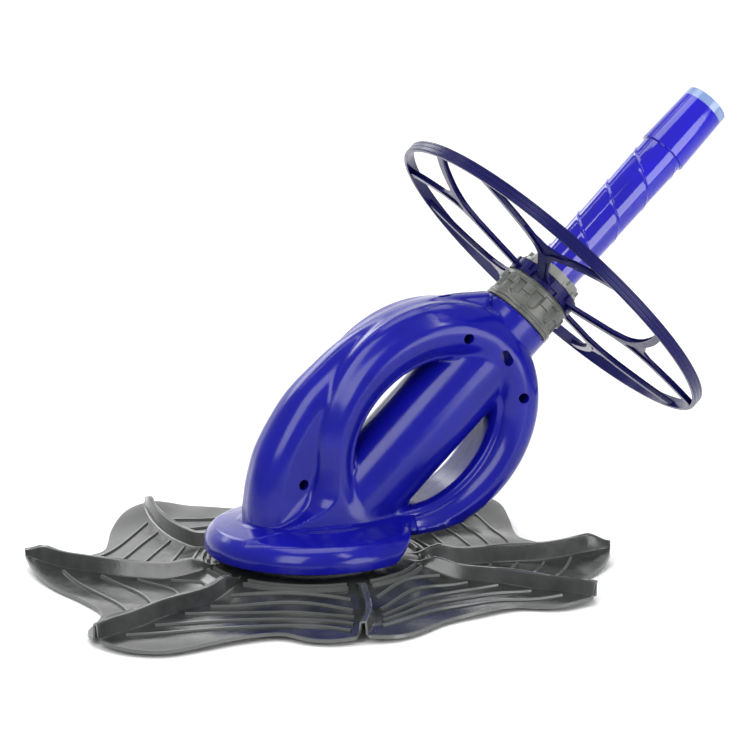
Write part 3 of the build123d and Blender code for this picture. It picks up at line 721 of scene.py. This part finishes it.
# ---------- finned disc
# Each fold: angle at the hub, angle and radius of its tip, height of its wall, lift of its tip and
# how much of its height it keeps at the tip (1 for an open end, less for one that runs out).
FOLDS = [
    (-84, -97, 198, 11, 2, 1.0), (-31, -42, 249, 12, 2, 1.0), (-14, -12, 258, 14, 7, 0.35),
    (27, 34, 255, 13, 9, 0.5), (75, 73, 202, 9, 3, 1.0), (133, 112, 245, 13, 9, 0.4),
    (179, 157, 249, 13, 6, 0.35), (209, 212, 254, 13, 1, 0.9),
]
# Edge of each panel from one fold's tip to the next, as (angle, radius).
PANEL_EDGES = [
    [(-88, 200), (-77, 184), (-67, 187), (-56, 200), (-50, 230)],
    [(-36, 238), (-29, 228), (-24, 238), (-17, 252)],
    [(-5, 224), (6, 204), (14, 211), (22, 232), (29, 256)],
    [(40, 246), (47, 217), (54, 201), (64, 197)],
    [(82, 200), (92, 211), (100, 227), (106, 240)],
    [(118, 244), (125, 222), (131, 203), (138, 193), (146, 202), (152, 222)],
    [(163, 237), (172, 221), (183, 207), (196, 205), (203, 222), (208, 246)],
    [(219, 256), (226, 246), (232, 220), (238, 196), (244, 186), (251, 196), (257, 200)],
]
PANEL_BOW = [3.5, 0.0, 1.5, 2.0, 2.0, 1.0, 0.5, 3.5]  # rise of each panel's middle
PANEL_SKIRT = [2.6, 2.4, 2.0, 2.0, 2.0, 2.0, 2.4, 2.6]  # drop of each panel's turned-down edge
# Ribs of each panel: radius at the first fold, in the middle and at the second fold.
PANEL_RIBS = [
    [(112, 98, 112), (132, 112, 138), (150, 128, 166), (166, 145, 197), (182, 163, 226)],
    [(107, 118, 130), (133, 142, 152), (156, 164, 175), (178, 187, 198), (203, 208, 222)],
    [(120, 112, 122), (140, 132, 146), (156, 152, 170), (170, 170, 194), (184, 190, 220)],
    [(120, 112, 120), (144, 134, 140), (168, 156, 160), (192, 176, 178)],
    [(118, 112, 122), (138, 134, 148), (158, 158, 174), (176, 180, 200)],
    [(112, 104, 112), (134, 124, 134), (156, 146, 156), (180, 167, 178), (206, 186, 202)],
    [(125, 108, 118), (152, 131, 152), (181, 158, 176), (213, 186, 198)],
    [(112, 98, 110), (137, 111, 127), (168, 128, 147), (204, 148, 167), (238, 170, 184)],
]
HUB_BANDS = (90.0, 95.5)
DISC_BORE = 50.4
DISC_TOP = (15.2, 3.2)  # height of the sheet at the hub and near the edge
DISC_SLOPE = (74.0, 132.0)
DISC_SHEET = 1.6
FOLD_ROOT = 90.0  # radius where a fold has its angle at the hub
FOLD_RUN = (84.0, 110.0)  # where the walls of the folds rise out of the hub
FOLD_SHAPE = [(0.0, 1.0), (2.3, 1.0), (2.8, 0.95), (3.7, 0.08), (4.4, 0.02), (6.4, 0.0), (9.0, 0.0)]
FOLD_RUNOUT = 22.0  # how far before the tip a fold starts to lose height
OUTER_PART = (110.0, 200.0)  # radii between which the panels take their own shape
RIPPLE = (0.7, 13.0, 9.0)  # height, and run along and across the panel
FOLD_SWELL = 2.5  # rise of a panel towards its folds
LIFT_RUN = (34.0, 42.0)  # how far a lifted tip reaches inwards and sideways
ROW_SPACING = 0.85  # below 1 the rows lie closer near the edge
SKIRT_START = (3.0, 5.0)  # distances from a fold between which the turned-down edge starts
SKIRT_FLARE = 0.5
FLOOR_GAP = 0.7
RIB_SPAN = (0.02, 0.96)  # where a rib starts and how far it runs, as shares of the panel
RIB_INSET = 4.0
RIB_SHAPE = [(-1.5, -0.8), (1.5, -0.8), (1.0, 1.5), (-1.0, 1.5)]
BAND_SHAPE = [(-1.3, -1.5), (1.3, -1.5), (1.0, 3.0), (-1.0, 3.0)]
DISC_ROWS = 52
DISC_COLUMNS = 34
RIB_SAMPLES = 40


def fold_angle(fold, r):
    """Angle of a fold's line at a radius."""
    hub, tip, reach = fold[:3]
    return hub + (tip - hub) * np.clip((r - FOLD_ROOT) / (reach - FOLD_ROOT), 0, 1.1)


def panel_folds(panel):
    """The two folds of a panel, the second turned so that its angles come after the first's."""
    first, second = FOLDS[panel], FOLDS[(panel + 1) % len(FOLDS)]
    if second[1] < first[1]:
        second = (second[0] + 360, second[1] + 360) + second[2:]
    return first, second


def panel_reach(panel):
    """Function that gives the radius of a panel's edge at an angle."""
    first, second = panel_folds(panel)
    corners = [(first[1], first[2])] + PANEL_EDGES[panel] + [(second[1], second[2])]
    curve = np.array(spline(corners, 10))
    return lambda angle: np.interp(angle, curve[:, 0], curve[:, 1])


def disc_height(panel, r, near_first, near_second, share):
    """Height of the sheet; near_* are distances in mm to the two folds, share runs from 0 to 1."""
    first, second = panel_folds(panel)
    z = DISC_TOP[1] + (DISC_TOP[0] - DISC_TOP[1]) * (1 - smooth_step(*DISC_SLOPE, r))
    out = smooth_step(*OUTER_PART, r)
    z += PANEL_BOW[panel] * np.sin(math.pi * share) * out
    z += RIPPLE[0] * np.sin(r / RIPPLE[1] + RIPPLE[2] * share + panel) * out
    rising = smooth_step(*FOLD_RUN, r)
    z += FOLD_SWELL * (1 - np.sin(math.pi * share)) ** 2 * out
    steps = np.array(FOLD_SHAPE)
    for fold, near in ((first, near_first), (second, near_second)):
        kept = 1 - (1 - fold[5]) * smooth_step(fold[2] - FOLD_RUNOUT, fold[2], r)
        z += fold[3] * rising * kept * np.interp(near, steps[:, 0], steps[:, 1])
        z += fold[4] * math.exp(-((fold[2] - r) / LIFT_RUN[0]) ** 2 - (near / LIFT_RUN[1]) ** 2)
    return z


def disc_place(panel, r, column):
    """World point of a panel at a radius; a column is a distance from a fold or a share between both."""
    first, second = panel_folds(panel)
    low, high = fold_angle(first, r), fold_angle(second, r)
    margin = math.degrees(FOLD_SHAPE[-1][0] / r)
    kind, value = column
    if kind == "first":
        angle = low + math.degrees(value / r)
    elif kind == "second":
        angle = high - math.degrees(value / r)
    else:
        angle = low + margin + value * (high - low - 2 * margin)
    near_first = math.radians(angle - low) * r
    near_second = math.radians(high - angle) * r
    share = (angle - low) / (high - low)
    z = disc_height(panel, r, near_first, near_second, share)
    turn = math.radians(angle)
    return (r * math.cos(turn), r * math.sin(turn), float(z))


def tip_angle(panel, column):
    """Angle of a column at the panel's outer edge."""
    first, second = panel_folds(panel)
    kind, value = column
    if kind == "first":
        return first[1] + math.degrees(value / first[2])
    if kind == "second":
        return second[1] - math.degrees(value / second[2])
    low = first[1] + math.degrees(FOLD_SHAPE[-1][0] / first[2])
    high = second[1] - math.degrees(FOLD_SHAPE[-1][0] / second[2])
    return low + value * (high - low)


def disc_sheet():
    """Open sheet of all panels, with a turned-down edge, as (verts, faces) seen from above."""
    columns = []
    for panel in range(len(FOLDS)):
        reach = panel_reach(panel)
        marks = [("first", d) for d, _ in FOLD_SHAPE[:-1]]
        marks += [("share", i / DISC_COLUMNS) for i in range(DISC_COLUMNS + 1)]
        marks += [("second", d) for d, _ in reversed(FOLD_SHAPE[1:-1])]
        columns += [(panel, mark, float(reach(tip_angle(panel, mark)))) for mark in marks]
    verts, faces = [], []
    for panel, mark, edge in columns:
        for row in range(DISC_ROWS + 1):
            r = DISC_BORE + (edge - DISC_BORE) * (row / DISC_ROWS) ** ROW_SPACING
            verts.append(disc_place(panel, r, mark))
        x, y, z = verts[-1]
        past_fold = smooth_step(*SKIRT_START, mark[1]) if mark[0] != "share" else 1.0
        drop = PANEL_SKIRT[panel] * past_fold
        grow = 1 + SKIRT_FLARE / edge
        verts.append((x * grow, y * grow, max(z - drop, FLOOR_GAP)))
    n = DISC_ROWS + 2
    for i in range(len(columns)):
        j = (i + 1) % len(columns)
        faces += [[i * n + k, i * n + k + 1, j * n + k + 1, j * n + k] for k in range(n - 1)]
    return verts, faces


def disc_rib(panel, radii, shape):
    """Raised rib across a panel through its radius at the first fold, the middle and the second fold."""
    reach = panel_reach(panel)
    points = []
    for i in range(RIB_SAMPLES + 1):
        share = RIB_SPAN[0] + RIB_SPAN[1] * i / RIB_SAMPLES
        a, b, c = radii
        r = a * (1 - share) * (1 - 2 * share) + 4 * b * share * (1 - share) + c * share * (2 * share - 1)
        limit = float(reach(tip_angle(panel, ("share", share)))) - RIB_INSET
        points.append(Vector(disc_place(panel, min(r, limit), ("share", share))))
    frames = []
    for i in range(len(points)):
        along = points[min(i + 1, RIB_SAMPLES)] - points[max(i - 1, 0)]
        along.z = 0
        side = along.normalized().cross(Vector((0, 0, 1)))
        frames.append((side, Vector((0, 0, 1))))
    return swept(points, frames, shape)


disc = add_mesh("finned_disc_sheet", *disc_sheet(), "grey_elastomer", "disc", orient=False, sharp=50.0,
                stands_for=["finned_disc"])
add_modifier(disc, "SOLIDIFY", thickness=DISC_SHEET * MM, offset=-1.0)
apply_modifiers(disc)
shade(disc, 50.0)
ribs = []
for panel, rows in enumerate(PANEL_RIBS):
    ribs += [disc_rib(panel, radii, RIB_SHAPE) for radii in rows]
    ribs += [disc_rib(panel, (r, r, r), BAND_SHAPE) for r in HUB_BANDS]
add_mesh("finned_disc_ribs", *merge(ribs), "grey_elastomer", "disc", sharp=30.0)


# ---------- hand nut
NUT_BORE = 29.6
NUT_PIPE_HOLE = 20.6
NUT_SPAN = (259.5, 288.5)
NUT_LIP = 285.9
NUT_OUTLINE = [
    (32.7, 259.5), (33.5, 260.0), (33.75, 261.0), (33.5, 262.0), (32.9, 262.4), (32.9, 262.8), (33.4, 263.2),
    (33.6, 264.2), (33.4, 265.2), (32.6, 265.9), (32.3, 270.0), (32.0, 278.0), (31.8, 284.5), (31.8, 287.2),
    (31.0, 288.5),
]
NUT_GRIPS = 10
NUT_STEP = 0.55  # length of the rows of its mesh
GROOVE_FLOOR = 0.62  # share of the groove's width that is at full depth
GROOVE = (5.6, 2.4, 267.5, 283.0)  # half width, depth, round bottom and open end
LUG = (4.9, 1.7, 276.5, 284.8)  # half width, height and span


def nut_relief(angle, r, s):
    """Scooped finger grooves with square lugs between them on the outside of the nut."""
    if r < NUT_BORE + 0.5:
        return 0.0
    pitch = 2 * math.pi / NUT_GRIPS
    place = (angle / pitch) % 1.0
    across_groove = abs(place - 0.5) * pitch * r
    across_lug = min(place, 1 - place) * pitch * r
    below = max(GROOVE[2] + GROOVE[0] - s, 0.0)
    scoop = 1 - smooth_step(GROOVE[0] * GROOVE_FLOOR, GROOVE[0], math.hypot(across_groove, below))
    scoop *= 1 - smooth_step(GROOVE[3], GROOVE[3] + 1.0, s)
    lug = 1 - smooth_step(LUG[0] - 0.5, LUG[0], across_lug)
    lug *= smooth_step(LUG[2], LUG[2] + 0.5, s) * (1 - smooth_step(LUG[3], LUG[3] + 0.5, s))
    return float(LUG[1] * lug - GROOVE[1] * scoop)


nut_rows = []
for (r0, s0), (r1, s1) in zip(NUT_OUTLINE, NUT_OUTLINE[1:]):
    parts = max(1, round((s1 - s0) / NUT_STEP))
    nut_rows += [(r0 + (r1 - r0) * i / parts, s0 + (s1 - s0) * i / parts) for i in range(parts)]
nut_rows += [NUT_OUTLINE[-1], (NUT_PIPE_HOLE, NUT_SPAN[1]), (NUT_PIPE_HOLE, NUT_LIP), (NUT_BORE, NUT_LIP)]
nut_rows += [(NUT_BORE, NUT_SPAN[0])]
nut_mesh = turned(nut_rows, 480, swell=nut_relief)
add_mesh("hand_nut_moulding", *nut_mesh, "grey_plastic", "nut", sharp=40.0, stands_for=["hand_nut"])


# ---------- deflector wheel
WHEEL_RADIUS = 165.5
RIM_SPAN = (300.5, 310.5)
RIM_WALL = 3.6
RIM_RIDGES = (301.9, 305.5, 309.1)
RIDGE_DEPTH = 0.6
RIM_CORNER = ((0.9, 0.0), (0.4, 0.5))  # inset and rise of the rim's bevelled corners
HUB_BAND = (24.8, 33.0)
HUB_SPAN = (289.6, 293.6, 301.0)  # start, change of teeth and end
HUB_TEETH = [(2.8, 0.62, 0.0), (2.0, 0.8, 0.35)]  # depth, share of the pitch and phase of each row
HUB_TOOTH_COUNT = 10
SPOKES = 5
SPOKE_PHASE = math.radians(2.5)
SPOKE_S = (295.0, 304.0)
SPOKE_STEPS = (31.0, 6.5, 11)  # radius of the first point, spacing and count
FORK_ANGLE = math.radians(26.0)
ARM = [(82.0, 1.0), (93.0, 3.6), (104.0, 9.5), (118.0, 23.5), (134.0, 47.0)]  # along and aside
BEAM = [
    (-3.2, -2.5), (3.2, -2.5), (3.2, -1.7), (1.2, -1.2), (1.2, 1.2), (3.2, 1.7), (3.2, 2.5), (-3.2, 2.5),
    (-3.2, 1.7), (-1.2, 1.2), (-1.2, -1.2), (-3.2, -1.7),
]
ARM_BEAM = [(side * 0.97, up * 0.97) for side, up in BEAM]  # slimmer, so that faces don't coincide
WEB = (103.0, 121.0)  # where the arms are joined by a web
WEB_STEM = [(32.0, 9.0), (42.0, 6.2), (60.0, 5.6), (82.0, 6.4), (94.0, 8.6)]
WEB_CROTCH = [(116.0, 7.0), (113.5, 0.0), (116.0, -7.0)]
WEB_HALF = 1.1
BEVEL_ANGLE = 30.0
inner_rim = WHEEL_RADIUS - RIM_WALL


def wheel_point(along, aside, turn, rise=0.0):
    """Point of the dished wheel, along a spoke at angle turn and aside from it."""
    r = math.hypot(along, aside)
    share = (r - HUB_BAND[1]) / (inner_rim - HUB_BAND[1])
    s = SPOKE_S[0] + share * (SPOKE_S[1] - SPOKE_S[0]) + rise
    y = along * math.cos(turn) - aside * math.sin(turn)
    t = along * math.sin(turn) + aside * math.cos(turn)
    return flow_point(s, t, y)


def beam(path, turn, shape):
    """Spoke or arm along a path of (along, aside) points."""
    points = [wheel_point(u, v, turn) for u, v in path]
    frames = []
    axis = Vector((COS, 0, SIN))
    for i in range(len(points)):
        run = points[min(i + 1, len(points) - 1)] - points[max(i - 1, 0)]
        side = run.cross(axis).normalized()
        frames.append((side, axis))
    return swept(points, frames, shape)


def rim_profile():
    """Section of the rim: a band with three fine ridges outside."""
    valley = WHEEL_RADIUS - RIDGE_DEPTH
    profile = [(inner_rim, RIM_SPAN[1]), (inner_rim, RIM_SPAN[0])]
    profile += [(WHEEL_RADIUS - inset, RIM_SPAN[0] + rise) for inset, rise in RIM_CORNER]
    for s in RIM_RIDGES:
        profile += [(valley, s - 0.9), (WHEEL_RADIUS, s - 0.4), (WHEEL_RADIUS, s + 0.4), (valley, s + 0.9)]
    profile += [(WHEEL_RADIUS - inset, RIM_SPAN[1] - rise) for inset, rise in RIM_CORNER[::-1]]
    return profile


def arm_path(side):
    """Smooth arm from the fork out to the rim."""
    reach = inner_rim + 1.0
    tip = (reach * math.cos(FORK_ANGLE), reach * math.sin(FORK_ANGLE))
    return spline([(along, side * aside) for along, aside in ARM + [tip]])


def fork_web(turn):
    """Thin web that fills the crotch of a fork."""
    right = [p for p in arm_path(-1) if WEB[0] < p[0] < WEB[1]]
    left = [p for p in arm_path(1) if WEB[0] < p[0] < WEB[1]]
    outline = right[::-1] + [(u, -v) for u, v in WEB_STEM[::-1]] + WEB_STEM + left + WEB_CROTCH
    return prism(outline, -WEB_HALF, WEB_HALF, lambda u, v, w: wheel_point(u, v, turn, w))


def toothed_ring(outer, inner, root, span, teeth, share, phase, steps=12):
    """Ring along the flow axis whose outside is cut into teeth, share of each pitch left standing."""
    loops = []
    for k in range(teeth):
        for start, width, r in ((0.0, share, outer), (share, 1 - share, root)):
            for i in range(steps):
                turn = 2 * math.pi * (k + start + width * i / (steps - 1)) / teeth + phase
                loops.append((r, turn))
    n = len(loops)
    verts = []
    for s in span:
        verts += [flow_point(s, r * math.sin(a), r * math.cos(a)) for r, a in loops]
        verts += [flow_point(s, inner * math.sin(a), inner * math.cos(a)) for _, a in loops]
    faces = []
    for i in range(n):
        j = (i + 1) % n
        faces.append([i, j, 2 * n + j, 2 * n + i])
        faces.append([n + i, 3 * n + i, 3 * n + j, n + j])
        faces.append([i, n + i, n + j, j])
        faces.append([2 * n + i, 2 * n + j, 3 * n + j, 3 * n + i])
    return verts, faces


def bevel(obj, width, segments=2):
    """Round the sharp edges of a piece by a width in mm."""
    add_modifier(obj, "BEVEL", width=width * MM, segments=segments, limit_method="ANGLE",
                 angle_limit=math.radians(BEVEL_ANGLE))
    apply_modifiers(obj)
    shade(obj, 40.0)


wheel_parts = [turned(rim_profile(), 240)]
for span, (depth, share, phase) in zip(zip(HUB_SPAN, HUB_SPAN[1:]), HUB_TEETH):
    wheel_parts.append(toothed_ring(HUB_BAND[1], HUB_BAND[0], HUB_BAND[1] - depth, span, HUB_TOOTH_COUNT,
                                    share, phase))
first, spacing, count = SPOKE_STEPS
for k in range(SPOKES):
    turn = SPOKE_PHASE + 2 * math.pi * k / SPOKES
    wheel_parts.append(beam([(first + i * spacing, 0.0) for i in range(count)], turn, BEAM))
    wheel_parts += [beam(arm_path(side), turn, ARM_BEAM) for side in (-1, 1)]
    wheel_parts.append(fork_web(turn))
wheel = add_mesh("deflector_wheel_moulding", *merge(wheel_parts), "navy_plastic", "wheel",
                 stands_for=["deflector_wheel"])
bevel(wheel, 0.35)

CLIP_BORE = 20.1
CLIP_ROWS = [
    (28.6, 27.8, (302.6, 305.6), 12, 0.5, 0.0),
    (27.6, 25.6, (305.6, 311.0), 8, 0.55, 0.2),
]  # outer and root radius, span, teeth, share of the pitch and phase
clip_rings = []
for outer, root, span, teeth, share, phase in CLIP_ROWS:
    clip_rings.append(toothed_ring(outer, CLIP_BORE, root, span, teeth, share, phase))
clip = add_mesh("wheel_clip_moulding", *merge(clip_rings), "grey_plastic", "column",
                stands_for=["wheel_retaining_clip"])
bevel(clip, 0.9, 3)


# ---------- extension pipe
PIPE_RADIUS = 20.0
PIPE_BORE = 17.5
PIPE_SPAN = (259.0, 506.0)
COLLAR = (27.0, 281.4, 285.4)
CUFF_START = 454.0
CUFF_RADII = (22.0, 20.4)
SOCKET = (19.1, 460.0)
END_RING = (506.0, 514.0)
HELIX_LEAD = 76.0
HELIX_STARTS = 2
HELIX_SPAN = (292.0, 452.0)
HELIX_FADE = 4.0
RIBBED_START = 290.0
PIPE_STEP = 0.8
RIDGE = (0.55, 0.8)  # height and half width
LAP = 0.5  # how far each turn stands over the next


def helix_relief(angle, r, s):
    """Raised seams that wind round the pipe, each lapping over the next turn."""
    if r < PIPE_RADIUS - 0.1 or not HELIX_SPAN[0] < s < HELIX_SPAN[1]:
        return 0.0
    pitch = HELIX_LEAD / HELIX_STARTS
    place = ((s + HELIX_LEAD * angle / (2 * math.pi)) / pitch) % 1.0
    near = min(place, 1 - place) * pitch
    fade = smooth_step(HELIX_SPAN[0], HELIX_SPAN[0] + HELIX_FADE, s)
    fade *= 1 - smooth_step(HELIX_SPAN[1] - HELIX_FADE, HELIX_SPAN[1], s)
    return float(fade * (RIDGE[0] * math.exp(-(near / RIDGE[1]) ** 2) + LAP * (place - 0.5)))


rows = [
    (PIPE_BORE, PIPE_SPAN[0]), (PIPE_RADIUS, PIPE_SPAN[0]), (PIPE_RADIUS, COLLAR[1]), (COLLAR[0], COLLAR[1]),
    (COLLAR[0], COLLAR[2]), (PIPE_RADIUS, COLLAR[2]),
]
ribbed = CUFF_START - RIBBED_START
count = int(ribbed / PIPE_STEP)
rows += [(PIPE_RADIUS, RIBBED_START + ribbed * i / count) for i in range(count + 1)]
rows += [
    (CUFF_RADII[0] - 0.4, CUFF_START), (CUFF_RADII[0], CUFF_START + 0.5),
    (CUFF_RADII[0] - 0.1, CUFF_START + 3), (CUFF_RADII[1], PIPE_SPAN[1]), (SOCKET[0], PIPE_SPAN[1]),
    (SOCKET[0], SOCKET[1]), (PIPE_BORE, SOCKET[1]),
]
pipe_mesh = turned(rows, 180, swell=helix_relief)
add_mesh("extension_pipe_moulding", *pipe_mesh, "clear_blue", "column", sharp=28.0,
         stands_for=["outer_extension_pipe"])
ring_mesh = turned([
    (SOCKET[0], END_RING[0] + 0.05), (CUFF_RADII[1], END_RING[0] + 0.05), (CUFF_RADII[1], END_RING[1] - 0.6),
    (CUFF_RADII[1] - 0.5, END_RING[1]), (SOCKET[0] + 0.3, END_RING[1]), (SOCKET[0], END_RING[1] - 0.4),
], 180)
add_mesh("hose_ring_moulding", *ring_mesh, "clear_light_blue", "column", stands_for=["hose_end_ring"])


# ---------- CAD parts that stay
for node, obj in frame["nodes"].items():
    slot = next(part["material_slot"] for part in frame["record"]["subparts"] if part["node"] == node)
    obj.data.materials.clear()
    obj.data.materials.append(MATERIALS[slot])


# ---------- floor, lights and camera
# Each light: name, place, what it faces, size, power and turn about its own axis; metres and watts.
LIGHTS = [
    ("key", (-1.2, -1.3, 1.3), (0.05, 0, 0.12), (0.9, 1.5), 24, 0),
    ("fill", (0.62, -1.05, 0.24), (0.29, 0, 0.30), (0.70, 0.62), 7, -45),
    ("strip", (0.55, -1.3, 1.75), (0.25, 0, 0.3), (0.16, 0.9), 7, 0),
    ("top", (0.1, 0.1, 1.9), (0.1, 0, 0.1), (1.4, 1.0), 16, 0),
    ("rim", (-0.6, 1.6, 1.2), (0.1, 0, 0.2), (1.2, 0.6), 10, 0),
    ("backdrop", (0.0, 1.8, 3.2), (0.0, 4.6, 1.0), (5.0, 1.0), 150, 0),
]


def area_light(name, place, aim, size, power, turn):
    """Rectangular lamp that faces a point."""
    light = bpy.data.objects.new(name, bpy.data.lights.new(name, "AREA"))
    light.data.shape = "RECTANGLE"
    light.data.size, light.data.size_y = size
    light.data.energy = power
    light.location = place
    facing = (Vector(place) - Vector(aim)).to_track_quat("Z", "Y")
    light.rotation_euler = (facing @ Quaternion((0, 0, 1), math.radians(turn))).to_euler()
    bpy.context.scene.collection.objects.link(light)


def studio_floor():
    """Pale floor that curves up into a backdrop far behind the object."""
    width, start, rise, top = 6.0, 2.6, 2.4, 5.0
    profile = [(-4.0, 0.0), (start, 0.0)]
    for i in range(1, 13):
        angle = math.pi / 2 * i / 12
        profile.append((start + rise * math.sin(angle), rise * (1 - math.cos(angle))))
    profile.append((start + rise, top))
    verts = [(side * width, y, z) for y, z in profile for side in (-1, 1)]
    faces = [(2 * i, 2 * i + 1, 2 * i + 3, 2 * i + 2) for i in range(len(profile) - 1)]
    mesh = bpy.data.meshes.new("studio_floor")
    mesh.from_pydata(verts, [], faces)
    mesh.polygons.foreach_set("use_smooth", [True] * len(faces))
    paper = moulded("studio_paper", (0.93, 0.93, 0.93), (0.91, 0.91, 0.91), 0.8, bump=0.02, shine=0.02)
    mesh.materials.append(paper)
    floor = bpy.data.objects.new("studio_floor", mesh)
    bpy.context.scene.collection.objects.link(floor)


def white_world(seen, lighting):
    """White surroundings, brighter to the camera than as a light."""
    world = bpy.data.worlds.new("studio")
    bpy.context.scene.world = world
    world.use_nodes = True
    tree = world.node_tree
    background = tree.nodes["Background"]
    background.inputs["Color"].default_value = (1, 1, 1, 1)
    path = tree.nodes.new("ShaderNodeLightPath")
    strength = range_node(tree, path.outputs["Is Camera Ray"], 0, 1, lighting, seen)
    tree.links.new(strength, background.inputs["Strength"])


studio_floor()
white_world(1.0, 0.5)
bpy.context.scene.view_settings.view_transform = "Standard"
for light in LIGHTS:
    area_light(*light)

AZ, EL, DISTANCE, FOCAL_PX = math.radians(-19.7), math.radians(11.37), 1640.0, 1935.0
LOOK_AT = Vector((60, 0, 150))
SENSOR = 36.0
PICTURE, CENTRE = 750.0, (380.4, 394.4)  # width of the picture, and where LOOK_AT lies in it
camera = bpy.data.objects.new("camera", bpy.data.cameras.new("camera"))
bpy.context.scene.collection.objects.link(camera)
bpy.context.scene.camera = camera
back = Vector((math.sin(AZ) * math.cos(EL), -math.cos(AZ) * math.cos(EL), math.sin(EL)))
camera.location = (LOOK_AT + back * DISTANCE) * MM
camera.rotation_euler = back.to_track_quat("Z", "Y").to_euler()
camera.data.sensor_width = SENSOR
camera.data.lens = FOCAL_PX / PICTURE * SENSOR
camera.data.shift_x = (PICTURE / 2 - CENTRE[0]) / PICTURE
camera.data.shift_y = (CENTRE[1] - PICTURE / 2) / PICTURE
